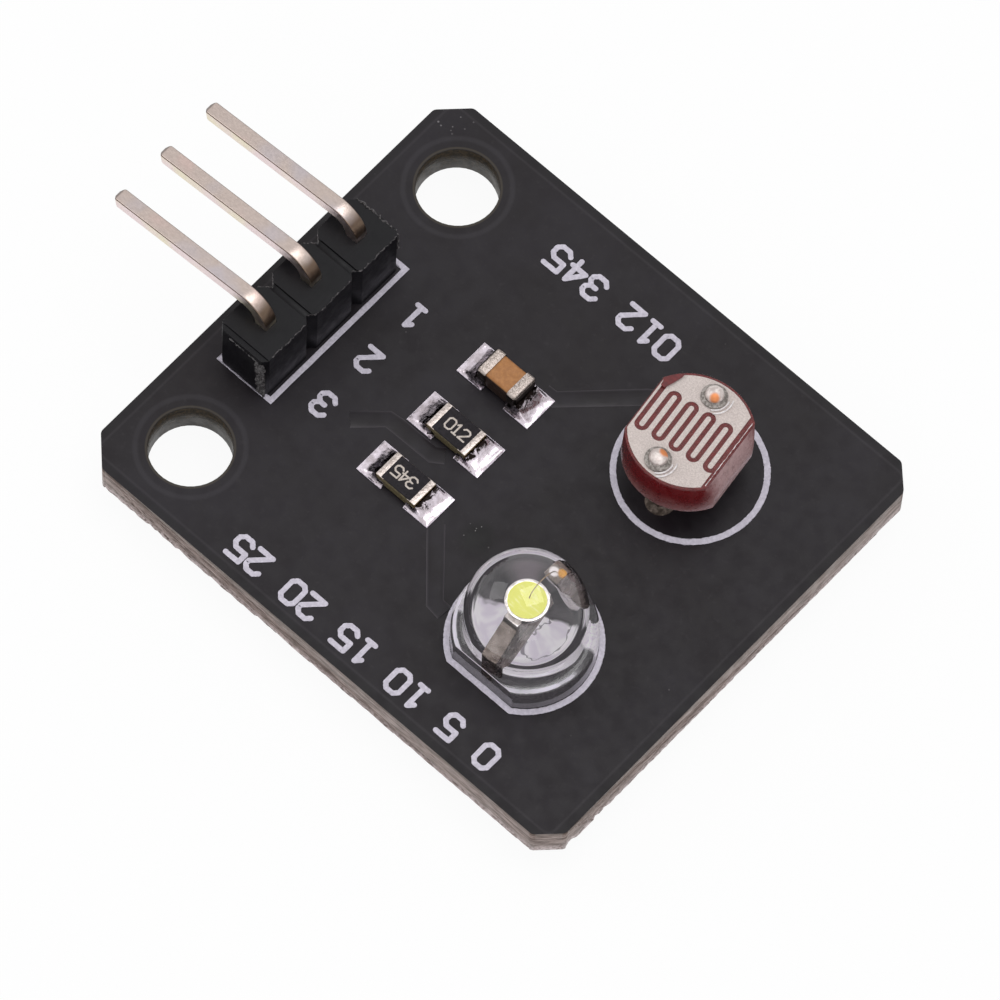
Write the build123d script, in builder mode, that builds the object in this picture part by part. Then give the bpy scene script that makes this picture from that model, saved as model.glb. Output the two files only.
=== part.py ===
from build123d import *
import os
from math import cos, radians, sin

os.makedirs("parts", exist_ok=True)

# Light sensor module: a small black circuit board with a lamp, a photo cell,
# two chip resistors, a chip capacitor and a three-pin header.
# Millimetres. Origin: midway between the two mounting holes, on the underside.
# +X runs along the board away from the header pins, +Y across it, +Z up.

# Board
board_length = 24.1
board_width = 21.0
board_thickness = 1.6
hole_inset = 2.95                # hole centres to the header end and to the long sides
hole_diameter = 3.3
header_end_corner = 1.1          # each corner is cut off square to its diagonal, this far along the sides
sensor_end_corner = 0.9
corner_blunt = 0.3               # and the cut's own two corners are blunted
board_top = board_thickness
board_centre_x = board_length / 2 - hole_inset
board_end_x = board_length - hole_inset
hole_spacing = board_width - 2 * hole_inset

# White ink, pads and solder
ink_thickness = 0.03
copper_thickness = 0.05
land_ring = 0.35                 # solder spreads this far around each drilled hole
tail_drop = 1.3                  # every trimmed lead ends this far under the board
joint_drop = 0.95                # and its solder cone this far
header_joint_neck = 0.5          # radius where each cone closes on its lead
lamp_joint_neck = 0.4
cell_joint_neck = 0.33
cell_joint_rise = 0.2            # solder drawn up the photo cell's leads, above the board
cell_joint_skirt = 0.2

# Header
pin_pitch = 2.54
pin_count = 3
pin_size = 0.6
header_x = -0.55
header_y = -0.23
header_depth = 2.45
header_length = 7.5
header_height = 3.0
notch_depth = 0.43              # on the side the pins bend over
front_notch_depth = 0.3         # and on the side towards the chip parts
torn_end = 0.12                 # one end keeps a little of the web it was snapped from
torn_notch = 0.22
groove_width = 0.3
groove_depth = 0.12
bend_radius = 0.9                # to the middle of the pin
bend_rise = 0.05                 # straight part between housing and bend
pin_droop = 6.5                  # degrees the long legs hang below level
pin_tip_x = -8.25
pin_tip_chamfer = 0.16
header_drill = 1.0
header_ink_front = 0.325         # from the housing to the outside of the ink line, in front,
header_ink_back = 0.025          # behind and
header_ink_end = 0.16            # at each end
header_ink_line = 0.2

# Lamp
lamp_end_inset = 6.43            # middle of the lamp to the board's end
lamp_side = 4.84                 # and off the board's middle line
flange_radius = 2.82
flange_height = 1.4
lens_radius = 2.38
dome_centre = 2.82               # above the board top
lead_spacing = 2.54
frame_size = 0.5                 # square section of the lamp's leads
cup_top = 3.5
cup_radius = 0.66
cup_depth = 0.35
cup_mouth = 0.5
cup_floor = 0.32
cup_foot = 0.1                   # how far the cup's cone runs down into the anvil
anvil_slope_start = 1.9          # heights above the board top
anvil_shoulder = 2.9
anvil_inner_edge = 2.5
anvil_inner_foot = 1.45
post_slope_start = 2.25
post_head_low = 2.7
post_head_high = 3.4
post_inner = 0.92                # the post head's two sides, from the lamp's middle
post_outer = 1.6
post_bevel = 0.15
die_size = 0.35
die_height = 0.15
wire_size = 0.045
wire_start = 0.1                 # from the lamp's middle
wire_loop = 0.55
lamp_drill = 0.9
lamp_ink_line = 0.22
ink_gap = 0.02                   # ink stands clear of the flange

# Photo cell
cell_end_inset = 6.53            # middle of its ink ring and holes to the board's end
cell_side = 4.68                 # and off the board's middle line
cell_shift_x = -0.15             # the face stands this far from over the ring's middle
cell_shift_y = -0.06
cell_turn = 8.4                  # degrees it is turned on its leads
cell_tilt = 4.0                  # degrees its face leans over to +Y
cell_diameter = 5.0
cell_across_flats = 4.2
cell_face_height = 3.45          # face above the board
cell_height = 1.75
cell_slope_in = 0.28             # the flat towards the board's end leans in at the top, this far
cell_slope_down = 0.9            # over this depth below the face
cell_hole_spacing = 3.4
cell_lead_inset = 0.75           # where they come through the face, from its rim
cell_lead_offset = -0.2          # they come through nearer one flat
cell_lead_skew = 0.13            # and not quite square to it
cell_lead_diameter = 0.5
cell_lead_bend = 0.3             # straight wire left above board and below cell
cell_drill = 0.8
film_thickness = 0.04
electrode_thickness = 0.03
electrode_inset = 0.1
coat_thickness = 0.06
collar_width = 0.14
collar_rise = 0.05
lead_tip_rise = 0.22
track_width = 0.19
track_loop_pitch = 0.776
track_loops = 5
track_length = 2.04
track_shift_x = -0.12
track_shift_y = 0.02
cell_ink_gap = 0.45              # ring's middle line outside the disc
cell_ink_line = 0.23

# Chip parts
chip_x = 7.06
chip_rows = {"capacitor": 2.54, "resistor_a": -0.28, "resistor_b": -3.12}
pad_span = 3.64
pad_length = 1.25
pad_width = 1.6
chip_length = 2.0
chip_width = 1.25
cap_wall = 0.04                  # thickness of the metal end caps
resistor_height = 0.55
resistor_glaze_height = 0.06
resistor_glaze_inset = 0.02
resistor_cap_length = 0.4
capacitor_height = 1.1
capacitor_cap_length = 0.45
resistor_edge = 0.02             # edges broken this much
capacitor_edge = 0.09
resistor_solder_height = 0.38
capacitor_solder_height = 0.6
chip_solder_inset = 0.08         # bare pad left outside each solder ramp

# Values the pieces share
chip_base = board_top + copper_thickness
resistor_body_height = resistor_height - resistor_glaze_height + cap_wall
housing_top = board_top + header_height
lamp_x = board_end_x - lamp_end_inset
lamp_y = -lamp_side
cell_ink_x = board_end_x - cell_end_inset
cell_ink_y = cell_side
cell_ink_radius = cell_diameter / 2 + cell_ink_gap
cell_x = cell_ink_x + cell_shift_x
cell_y = cell_ink_y + cell_shift_y
cell_lead_spacing = cell_diameter - 2 * cell_lead_inset
cell_face_right = cell_across_flats / 2 - cell_slope_in
cell_face_width = cell_across_flats - cell_slope_in
cell_face_middle = -cell_slope_in / 2
pin_rows = [header_y + (i - 1) * pin_pitch for i in range(pin_count)]
lamp_rows = [lamp_y - lead_spacing / 2, lamp_y + lead_spacing / 2]
cell_rows = [cell_ink_y - cell_hole_spacing / 2, cell_ink_y + cell_hole_spacing / 2]
turn = radians(cell_turn)
tilt = radians(cell_tilt)
cell_face = Plane(
    origin=(cell_x, cell_y, board_top + cell_face_height),
    x_dir=(cos(turn), sin(turn) * cos(tilt), -sin(turn) * sin(tilt)),
    z_dir=(0, sin(tilt), cos(tilt)),
)

# Each drilled hole: its place and its drill
drilled = []
for y in pin_rows:
    drilled.append((header_x, y, header_drill))
for y in lamp_rows:
    drilled.append((lamp_x, y, lamp_drill))
for y in cell_rows:
    drilled.append((cell_ink_x, y, cell_drill))

# Circuit board: glass-fibre laminate with two mounting holes and seven lead holes
with BuildPart() as board:
    with BuildSketch() as outline:
        with Locations((board_centre_x, 0)):
            Rectangle(board_length, board_width)
        chamfer(outline.vertices().group_by(Axis.X)[-1], sensor_end_corner)
        chamfer(outline.vertices().group_by(Axis.X)[0], header_end_corner)
        fillet(outline.vertices(), corner_blunt)
    extrude(amount=board_thickness)
    with Locations((0, -hole_spacing / 2, board_top), (0, hole_spacing / 2, board_top)):
        Hole(hole_diameter / 2, depth=board_thickness)
    for x, y, drill in drilled:
        with Locations((x, y, board_top)):
            Hole(drill / 2, depth=board_thickness)
board.part.label = "circuit_board"
export_step(board.part, "parts/circuit_board.step")

# Header housing: three square units in one moulding, notched where they would snap apart
with BuildPart() as housing:
    with BuildSketch(Plane.XY.offset(board_top)) as footprint:
        with Locations((header_x, header_y)):
            Rectangle(header_depth, header_length)
            with Locations((0, -header_length / 2)):
                Rectangle(header_depth, 2 * torn_end)
            for side, depth in ((-1, notch_depth), (1, front_notch_depth)):
                with Locations((side * header_depth / 2, pin_pitch / 2)):
                    with GridLocations(0, pin_pitch, 1, pin_count):
                        Rectangle(depth * 2 ** 0.5, depth * 2 ** 0.5, rotation=45, mode=Mode.SUBTRACT)
            with Locations((0, -header_length / 2 - torn_end)):
                with GridLocations(header_depth, 0, 2, 1):
                    Rectangle(torn_notch * 2 ** 0.5, torn_notch * 2 ** 0.5, rotation=45, mode=Mode.SUBTRACT)
            with GridLocations(0, pin_pitch, 1, pin_count):
                Rectangle(pin_size, pin_size, mode=Mode.SUBTRACT)
    extrude(amount=header_height)
    with BuildSketch(Plane.XY.offset(housing_top - groove_depth)) as grooves:
        with Locations((header_x, header_y)):
            with GridLocations(0, pin_pitch, 1, pin_count + 1):
                Rectangle(header_depth, groove_width)
    extrude(amount=groove_depth, mode=Mode.SUBTRACT)
housing.part.label = "header_housing"
export_step(housing.part, "parts/header_housing.step")

# Header pins: square wire, up through board and housing, over a bend, out past the board
pin_parts = []
for i, y in enumerate(pin_rows):
    arc_end_x = header_x - bend_radius * (1 + sin(radians(pin_droop)))
    leg_length = (arc_end_x - pin_tip_x) / cos(radians(pin_droop))
    with BuildPart() as pin:
        with BuildLine(Plane.XZ.offset(-y)) as route:
            rise = Line((header_x, -tail_drop), (header_x, housing_top + bend_rise))
            turn = JernArc(rise @ 1, rise % 1, bend_radius, 90 + pin_droop)
            PolarLine(turn @ 1, leg_length, direction=turn % 1)
        with BuildSketch(Plane.XY.offset(-tail_drop)) as section:
            with Locations((header_x, y)):
                Rectangle(pin_size, pin_size)
        sweep()
        chamfer(pin.faces().sort_by(Axis.X)[0].edges(), pin_tip_chamfer)
        chamfer(pin.faces().sort_by(Axis.Z)[0].edges(), pin_tip_chamfer / 2)
    pin.part.label = f"header_pin_{i + 1}"
    export_step(pin.part, f"parts/header_pin_{i + 1}.step")
    pin_parts.append(pin.part)

# Lamp, cathode side: lead, broad anvil and the small dished cup on top of it
cathode_outline = [
    (-lead_spacing / 2 - frame_size / 2, -tail_drop - board_top),
    (-lead_spacing / 2 - frame_size / 2, anvil_slope_start),
    (-cup_radius, anvil_shoulder),
    (-cup_radius, cup_top - cup_depth),
    (cup_radius, cup_top - cup_depth),
    (cup_radius, anvil_inner_edge),
    (-lead_spacing / 2 + frame_size / 2, anvil_inner_foot),
    (-lead_spacing / 2 + frame_size / 2, -tail_drop - board_top),
]
with BuildPart() as cathode:
    with BuildSketch(Plane.YZ.offset(lamp_x - frame_size / 2)) as plate:
        with BuildLine() as edge:
            Polyline([(lamp_y + a, board_top + b) for a, b in cathode_outline], close=True)
        make_face()
    extrude(amount=frame_size)
    with BuildSketch(Plane.XY.offset(board_top + cup_top - cup_depth - cup_foot)) as cup_base:
        with Locations((lamp_x, lamp_y)):
            Circle(cup_mouth)
    with BuildSketch(Plane.XY.offset(board_top + cup_top)) as cup_rim:
        with Locations((lamp_x, lamp_y)):
            Circle(cup_radius)
    loft()
    with BuildSketch(Plane.XY.offset(board_top + cup_top - cup_depth)) as dish_floor:
        with Locations((lamp_x, lamp_y)):
            Circle(cup_floor)
    with BuildSketch(Plane.XY.offset(board_top + cup_top)) as dish_mouth:
        with Locations((lamp_x, lamp_y)):
            Circle(cup_mouth)
    loft(mode=Mode.SUBTRACT)
cathode.part.label = "lamp_cathode_frame"
export_step(cathode.part, "parts/lamp_cathode_frame.step")

# Lamp, anode side: lead with a wider post head
with BuildPart() as anode:
    with BuildSketch(Plane.YZ.offset(lamp_x - frame_size / 2)) as plate:
        with BuildLine() as edge:
            Polyline(
                (lamp_rows[1] - frame_size / 2, -tail_drop),
                (lamp_rows[1] - frame_size / 2, board_top + post_slope_start),
                (lamp_y + post_inner, board_top + post_head_low),
                (lamp_y + post_inner, board_top + post_head_high),
                (lamp_y + post_outer - post_bevel, board_top + post_head_high),
                (lamp_y + post_outer, board_top + post_head_high - post_bevel),
                (lamp_rows[1] + frame_size / 2, board_top + post_slope_start),
                (lamp_rows[1] + frame_size / 2, -tail_drop),
                close=True,
            )
        make_face()
    extrude(amount=frame_size)
anode.part.label = "lamp_anode_frame"
export_step(anode.part, "parts/lamp_anode_frame.step")

# Lamp chip on the floor of the cup
with BuildPart() as die:
    with BuildSketch(Plane.XY.offset(board_top + cup_top - cup_depth)) as square:
        with Locations((lamp_x, lamp_y)):
            Rectangle(die_size, die_size)
    extrude(amount=die_height)
die.part.label = "lamp_die"
export_step(die.part, "parts/lamp_die.step")

# Phosphor that fills the cup over the chip
with BuildPart() as phosphor:
    with BuildSketch(Plane.XY.offset(board_top + cup_top - cup_depth)) as floor:
        with Locations((lamp_x, lamp_y)):
            Circle(cup_floor)
    with BuildSketch(Plane.XY.offset(board_top + cup_top)) as mouth:
        with Locations((lamp_x, lamp_y)):
            Circle(cup_mouth)
    loft()
    add(die.part, mode=Mode.SUBTRACT)
phosphor.part.label = "lamp_phosphor"
export_step(phosphor.part, "parts/lamp_phosphor.step")

# Hair-fine wire from the filled cup over to the post head
with BuildPart() as wire:
    with BuildLine(Plane.YZ.offset(lamp_x)) as arch:
        climb = JernArc((lamp_y + wire_start, board_top + cup_top), (0, 1), wire_loop, -180)
        Line(climb @ 1, (lamp_y + wire_start + 2 * wire_loop, board_top + post_head_high))
    with BuildSketch(Plane.XY.offset(board_top + cup_top)) as section:
        with Locations((lamp_x, lamp_y + wire_start)):
            Rectangle(wire_size, wire_size)
    sweep()
    add(anode.part, mode=Mode.SUBTRACT)
wire.part.label = "lamp_bond_wire"
export_step(wire.part, "parts/lamp_bond_wire.step")

# Lamp lens: one clear casting with a flange, a short barrel and a dome
with BuildPart() as lens:
    with BuildSketch(Plane.XZ.offset(-lamp_y)) as half:
        with BuildLine() as edge:
            Polyline(
                (lamp_x, board_top + dome_centre + lens_radius),
                (lamp_x, board_top),
                (lamp_x + flange_radius, board_top),
                (lamp_x + flange_radius, board_top + flange_height),
                (lamp_x + lens_radius, board_top + flange_height),
                (lamp_x + lens_radius, board_top + dome_centre),
            )
            RadiusArc(
                (lamp_x + lens_radius, board_top + dome_centre),
                (lamp_x, board_top + dome_centre + lens_radius),
                -lens_radius,
            )
        make_face()
    revolve(axis=Axis((lamp_x, lamp_y, 0), (0, 0, 1)))
    with BuildSketch(Plane.XY.offset(board_top)) as flat:
        with Locations((lamp_x, lamp_y - lens_radius - flange_radius)):
            Rectangle(2 * flange_radius, 2 * flange_radius)
    extrude(amount=flange_height, mode=Mode.SUBTRACT)
    add(cathode.part, mode=Mode.SUBTRACT)
    add(anode.part, mode=Mode.SUBTRACT)
    add(die.part, mode=Mode.SUBTRACT)
    add(phosphor.part, mode=Mode.SUBTRACT)
    add(wire.part, mode=Mode.SUBTRACT)
lens.part.label = "lamp_lens"
export_step(lens.part, "parts/lamp_lens.step")

# Photo-cell leads: round wire from under the board, set over, then square through the cell
cell_leads = []
for i, side in enumerate((-1, 1)):
    through_x = cell_lead_offset + side * cell_lead_skew
    through_y = side * cell_lead_spacing / 2
    foot = Vector(cell_ink_x, cell_rows[i], -tail_drop)
    neck = Vector(cell_ink_x, cell_rows[i], board_top + cell_lead_bend)
    shoulder = cell_face.from_local_coords((through_x, through_y, -cell_height - cell_lead_bend))
    tip = cell_face.from_local_coords((through_x, through_y, lead_tip_rise))
    with BuildPart() as lead:
        with BuildLine() as route:
            Polyline(foot, neck, shoulder, tip)
        with BuildSketch(Plane.XY.offset(-tail_drop)) as section:
            with Locations((foot.X, foot.Y)):
                Circle(cell_lead_diameter / 2)
        sweep(transition=Transition.RIGHT)
    lead.part.label = f"cell_lead_{i + 1}"
    export_step(lead.part, f"parts/cell_lead_{i + 1}.step")
    cell_leads.append(lead.part)

# Photo-cell substrate: white ceramic disc with two flats
with BuildPart() as substrate:
    with BuildSketch(cell_face) as disc:
        Circle(cell_diameter / 2)
        Rectangle(cell_across_flats, cell_diameter, mode=Mode.INTERSECT)
    extrude(amount=-cell_height)
    with BuildSketch(Plane(cell_face.origin, x_dir=cell_face.x_dir, z_dir=-cell_face.y_dir)) as slope:
        with BuildLine() as wedge:
            Polyline(
                (cell_face_right, 0),
                (cell_across_flats / 2, -cell_slope_down),
                (cell_across_flats / 2, 0),
                close=True,
            )
        make_face()
    extrude(amount=cell_diameter / 2, both=True, mode=Mode.SUBTRACT)
    add(cell_leads, mode=Mode.SUBTRACT)
substrate.part.label = "cell_substrate"
export_step(substrate.part, "parts/cell_substrate.step")

# Dark red light-sensitive film over the whole face
with BuildPart() as film:
    with BuildSketch(cell_face) as disc:
        Circle(cell_diameter / 2)
        with Locations((cell_face_middle, 0)):
            Rectangle(cell_face_width, cell_diameter, mode=Mode.INTERSECT)
    extrude(amount=film_thickness)
    add(cell_leads, mode=Mode.SUBTRACT)
film.part.label = "cell_film"
export_step(film.part, "parts/cell_film.step")

# Two comb electrodes: one metal layer split by a winding track that leaves the film bare.
# The metal stops along the last stroke of the track, short of that flat.
stroke_pitch = track_loop_pitch / 2
strokes = 2 * track_loops
first_stroke = track_shift_x - stroke_pitch * (strokes - 1) / 2
last_stroke = first_stroke + stroke_pitch * (strokes - 1)
reach = track_length / 2 - stroke_pitch / 2
past_edge = cell_diameter / 2
metal_side = -cell_across_flats / 2 + electrode_inset / 2
metal_width = last_stroke - metal_side
metal_plane = cell_face.offset(film_thickness)
with BuildPart() as electrodes:
    with BuildSketch(metal_plane) as metal:
        Circle(cell_diameter / 2 - electrode_inset)
        with Locations((metal_side + metal_width / 2, 0)):
            Rectangle(metal_width, cell_diameter, mode=Mode.INTERSECT)
        with BuildLine() as winding:
            start = (first_stroke, past_edge)
            for stroke in range(strokes):
                x = first_stroke + stroke * stroke_pitch
                upward = stroke % 2 == 1
                end_y = track_shift_y + (reach if upward else -reach)
                if stroke == strokes - 1:
                    end_y = past_edge
                Line(start, (x, end_y))
                if stroke < strokes - 1:
                    JernArc((x, end_y), (0, 1 if upward else -1), stroke_pitch / 2, -180 if upward else 180)
                start = (x + stroke_pitch, end_y)
        trace(line_width=track_width, mode=Mode.SUBTRACT)
    extrude(amount=electrode_thickness)
    add(cell_leads, mode=Mode.SUBTRACT)
combs = electrodes.part.solids().filter_by(lambda comb: comb.volume > 0.01).sort_by(Axis.Y)
for name, comb in zip(("cell_electrode_lower", "cell_electrode_upper"), combs):
    comb.label = name
    export_step(comb, f"parts/{name}.step")

# Clear resin over the metal, with a low collar round each lead tip
coat_plane = metal_plane.offset(electrode_thickness)
with BuildPart() as coat:
    with BuildSketch(coat_plane) as disc:
        Circle(cell_diameter / 2)
        with Locations((cell_face_middle, 0)):
            Rectangle(cell_face_width, cell_diameter, mode=Mode.INTERSECT)
    extrude(amount=coat_thickness)
    with BuildSketch(coat_plane) as collars:
        for side in (-1, 1):
            with Locations((cell_lead_offset + side * cell_lead_skew, side * cell_lead_spacing / 2)):
                Circle(cell_lead_diameter / 2 + collar_width)
    extrude(amount=coat_thickness + collar_rise)
    add(cell_leads, mode=Mode.SUBTRACT)
coat.part.label = "cell_coat"
export_step(coat.part, "parts/cell_coat.step")

# Through-hole solder: fills each lead hole and draws down into a cone round the tail
joints = []
for i, y in enumerate(pin_rows):
    joints.append((f"header_solder_{i + 1}", header_x, y, header_drill, header_joint_neck, pin_parts[i], 0))
joints.append(("lamp_solder_1", lamp_x, lamp_rows[0], lamp_drill, lamp_joint_neck, cathode.part, 0))
joints.append(("lamp_solder_2", lamp_x, lamp_rows[1], lamp_drill, lamp_joint_neck, anode.part, 0))
for i, y in enumerate(cell_rows):
    joints.append((f"cell_solder_{i + 1}", cell_ink_x, y, cell_drill, cell_joint_neck, cell_leads[i], cell_joint_rise))
for name, x, y, drill, neck_radius, lead_part, top_rise in joints:
    with BuildPart() as joint:
        with BuildSketch(Plane.XZ.offset(-y)) as half:
            with BuildLine() as edge:
                Line((x, -joint_drop), (x + neck_radius, -joint_drop))
                Line((x + neck_radius, -joint_drop), (x + drill / 2 + land_ring, 0))
                Line((x + drill / 2 + land_ring, 0), (x + drill / 2, 0))
                Line((x + drill / 2, 0), (x + drill / 2, board_top))
                if top_rise:
                    Line((x + drill / 2, board_top), (x + drill / 2 + cell_joint_skirt, board_top))
                    Line((x + drill / 2 + cell_joint_skirt, board_top), (x + neck_radius, board_top + top_rise))
                    Line((x + neck_radius, board_top + top_rise), (x, board_top + top_rise))
                    Line((x, board_top + top_rise), (x, -joint_drop))
                else:
                    Line((x + drill / 2, board_top), (x, board_top))
                    Line((x, board_top), (x, -joint_drop))
            make_face()
        revolve(axis=Axis((x, y, 0), (0, 0, 1)))
        add(lead_part, mode=Mode.SUBTRACT)
    joint.part.label = name
    export_step(joint.part, f"parts/{name}.step")

# Tinned pads under the ends of the chip parts
for row, y in chip_rows.items():
    for i, side in enumerate((-1, 1)):
        with BuildPart() as pad:
            with BuildSketch(Plane.XY.offset(board_top)) as shape:
                with Locations((chip_x + side * (pad_span - pad_length) / 2, y)):
                    Rectangle(pad_length, pad_width)
            extrude(amount=copper_thickness)
        pad.part.label = f"{row}_pad_{i + 1}"
        export_step(pad.part, f"parts/{row}_pad_{i + 1}.step")

# Chip bodies: ceramic bars set in from the outside of their metal end caps
chip_bodies = {}
for row, y in chip_rows.items():
    is_capacitor = row == "capacitor"
    with BuildPart() as body:
        with BuildSketch(Plane.XY.offset(chip_base + cap_wall)) as shape:
            with Locations((chip_x, y)):
                Rectangle(chip_length - 2 * cap_wall, chip_width - 2 * cap_wall if is_capacitor else chip_width)
        extrude(amount=(capacitor_height if is_capacitor else resistor_body_height) - 2 * cap_wall)
        chamfer(body.edges().filter_by(Axis.X), capacitor_edge if is_capacitor else resistor_edge)
    body.part.label = f"{row}_body"
    export_step(body.part, f"parts/{row}_body.step")
    chip_bodies[row] = body.part

# Glazed coat over the resistive layer
for row in ("resistor_a", "resistor_b"):
    with BuildPart() as glaze:
        with BuildSketch(Plane.XY.offset(chip_base + resistor_height - resistor_glaze_height)) as shape:
            with Locations((chip_x, chip_rows[row])):
                Rectangle(chip_length - 2 * resistor_cap_length, chip_width - 2 * resistor_glaze_inset)
        extrude(amount=resistor_glaze_height)
    glaze.part.label = f"{row}_glaze"
    export_step(glaze.part, f"parts/{row}_glaze.step")

# Metal end caps folded over both ends of each chip part
for row, y in chip_rows.items():
    is_capacitor = row == "capacitor"
    cap_length = capacitor_cap_length if is_capacitor else resistor_cap_length
    cap_edge = capacitor_edge if is_capacitor else resistor_edge
    for i, side in enumerate((-1, 1)):
        with BuildPart() as cap:
            with BuildSketch(Plane.XY.offset(chip_base)) as shape:
                with Locations((chip_x + side * (chip_length - cap_length) / 2, y)):
                    Rectangle(cap_length, chip_width)
            extrude(amount=capacitor_height if is_capacitor else resistor_body_height)
            chamfer(cap.edges().filter_by(Axis.X), cap_edge)
            outer_end = cap.faces().sort_by(Axis.X)[0 if side < 0 else -1]
            chamfer(outer_end.edges(), cap_edge)
            add(chip_bodies[row], mode=Mode.SUBTRACT)
        cap.part.label = f"{row}_cap_{i + 1}"
        export_step(cap.part, f"parts/{row}_cap_{i + 1}.step")

# Solder fillets: a concave ramp from each pad up the end of the chip part
for row, y in chip_rows.items():
    ramp_height = capacitor_solder_height if row == "capacitor" else resistor_solder_height
    for i, side in enumerate((-1, 1)):
        inner = chip_x + side * chip_length / 2
        outer = chip_x + side * (pad_span / 2 - chip_solder_inset)
        with BuildPart() as ramp:
            with BuildSketch(Plane.XZ.offset(-y + chip_width / 2)) as profile:
                with BuildLine() as edge:
                    Line((outer, chip_base), (inner, chip_base))
                    Line((inner, chip_base), (inner, chip_base + ramp_height))
                    TangentArc((outer, chip_base), (inner, chip_base + ramp_height), tangent=(-side, 0))
                make_face()
            extrude(amount=-chip_width)
        ramp.part.label = f"{row}_solder_{i + 1}"
        export_step(ramp.part, f"parts/{row}_solder_{i + 1}.step")

# White ink: outline under the header, broken where the housing stands on it
with BuildPart() as header_ink:
    with BuildSketch(Plane.XY.offset(board_top)) as line:
        with Locations((header_x + (header_ink_front - header_ink_back) / 2, header_y)):
            Rectangle(header_depth + header_ink_front + header_ink_back, header_length + 2 * header_ink_end)
        offset(amount=-header_ink_line, kind=Kind.INTERSECTION, mode=Mode.SUBTRACT)
    extrude(amount=ink_thickness)
    add(housing.part, mode=Mode.SUBTRACT)
header_ink.part.label = "header_outline_ink"
export_step(header_ink.part, "parts/header_outline_ink.step")

# White ink: ring round the photo cell
with BuildPart() as cell_ink:
    with BuildSketch(Plane.XY.offset(board_top)) as line:
        with Locations((cell_ink_x, cell_ink_y)):
            Circle(cell_ink_radius + cell_ink_line / 2)
            Circle(cell_ink_radius - cell_ink_line / 2, mode=Mode.SUBTRACT)
    extrude(amount=ink_thickness)
cell_ink.part.label = "cell_outline_ink"
export_step(cell_ink.part, "parts/cell_outline_ink.step")

# White ink: ring round the lamp, with the flat that marks its cathode
lamp_ink_radius = flange_radius + ink_gap + lamp_ink_line
lamp_ink_flat = lens_radius + ink_gap + lamp_ink_line
with BuildPart() as lamp_ink:
    with BuildSketch(Plane.XY.offset(board_top)) as line:
        with Locations((lamp_x, lamp_y)):
            Circle(lamp_ink_radius)
            with Locations((0, -lamp_ink_flat - lamp_ink_radius)):
                Rectangle(2 * lamp_ink_radius, 2 * lamp_ink_radius, mode=Mode.SUBTRACT)
        offset(amount=-lamp_ink_line, kind=Kind.INTERSECTION, mode=Mode.SUBTRACT)
    extrude(amount=ink_thickness)
lamp_ink.part.label = "lamp_outline_ink"
export_step(lamp_ink.part, "parts/lamp_outline_ink.step")
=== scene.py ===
# %% [markdown]
# # A light sensor module, dressed for its portrait
# The solids of the module already exist as a fixed frame: board, pin header, clear lamp, photo cell
# and three chips. This lesson puts the visible skin on that frame. Each step says what the piece or
# finish is on the real module, how it could be made, and why one way was chosen.

# %% Load the frame
import math
import random
import bpy
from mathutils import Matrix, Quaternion, Vector


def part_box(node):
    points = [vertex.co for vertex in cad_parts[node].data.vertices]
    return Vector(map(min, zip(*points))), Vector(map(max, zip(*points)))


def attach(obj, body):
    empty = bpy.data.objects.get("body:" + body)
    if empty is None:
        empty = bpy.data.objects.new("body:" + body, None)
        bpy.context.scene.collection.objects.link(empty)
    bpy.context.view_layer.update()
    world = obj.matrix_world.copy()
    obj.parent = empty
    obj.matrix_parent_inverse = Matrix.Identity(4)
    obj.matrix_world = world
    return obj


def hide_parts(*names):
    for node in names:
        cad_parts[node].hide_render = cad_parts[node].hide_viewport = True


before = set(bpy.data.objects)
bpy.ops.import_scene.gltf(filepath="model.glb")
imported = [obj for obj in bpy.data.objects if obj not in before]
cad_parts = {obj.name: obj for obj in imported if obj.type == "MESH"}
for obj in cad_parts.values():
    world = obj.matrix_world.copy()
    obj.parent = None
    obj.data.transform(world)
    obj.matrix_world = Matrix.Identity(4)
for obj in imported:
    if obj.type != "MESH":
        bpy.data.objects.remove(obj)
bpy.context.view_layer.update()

print("solids loaded:", len(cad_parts))

# %% [markdown]
# ## Working in millimetres
# The module is as small as a thumb, and its sizes are all in millimetres, but Blender works in metres.
# One could scale the whole scene, but then the pieces would no longer lie where the solids lie.
# Multiplying by one constant keeps the numbers readable and the places true.

# %% Units and small helpers
MM = 0.001
BOARD_TOP = 1.6
FLOOR_HEIGHT = -1.3


def mm(x, y, z):
    """A point given in millimetres, as Blender wants it."""
    return Vector((x * MM, y * MM, z * MM))


def deselect():
    """Leaves edit mode and lets go of every object, so that an operator acts only on what comes next."""
    if bpy.context.object and bpy.context.object.mode != "OBJECT":
        bpy.ops.object.mode_set(mode="OBJECT")
    bpy.ops.object.select_all(action="DESELECT")


def hold(piece):
    """Makes one object the selected and active one."""
    deselect()
    piece.select_set(True)
    bpy.context.view_layer.objects.active = piece


def edit(piece, kind="VERT"):
    """Opens one object in edit mode with everything selected."""
    hold(piece)
    bpy.ops.object.mode_set(mode="EDIT")
    bpy.ops.mesh.select_mode(type=kind)
    bpy.ops.mesh.select_all(action="SELECT")


def stop_edit():
    bpy.ops.object.mode_set(mode="OBJECT")


def fresh(name):
    """The object that an operator has just made, under a name of its own."""
    piece = bpy.context.object
    piece.name = name
    piece.data.name = name
    return piece


def joined(pieces, name):
    """One object made of several."""
    deselect()
    for item in pieces:
        item.select_set(True)
    bpy.context.view_layer.objects.active = pieces[0]
    bpy.ops.object.join()
    return fresh(name)


def extrude_up(height):
    """Extrudes the selected faces upwards by height millimetres."""
    bpy.ops.mesh.extrude_region_move(
        MESH_OT_extrude_region={}, TRANSFORM_OT_translate={"value": (0, 0, height * MM)})


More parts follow.
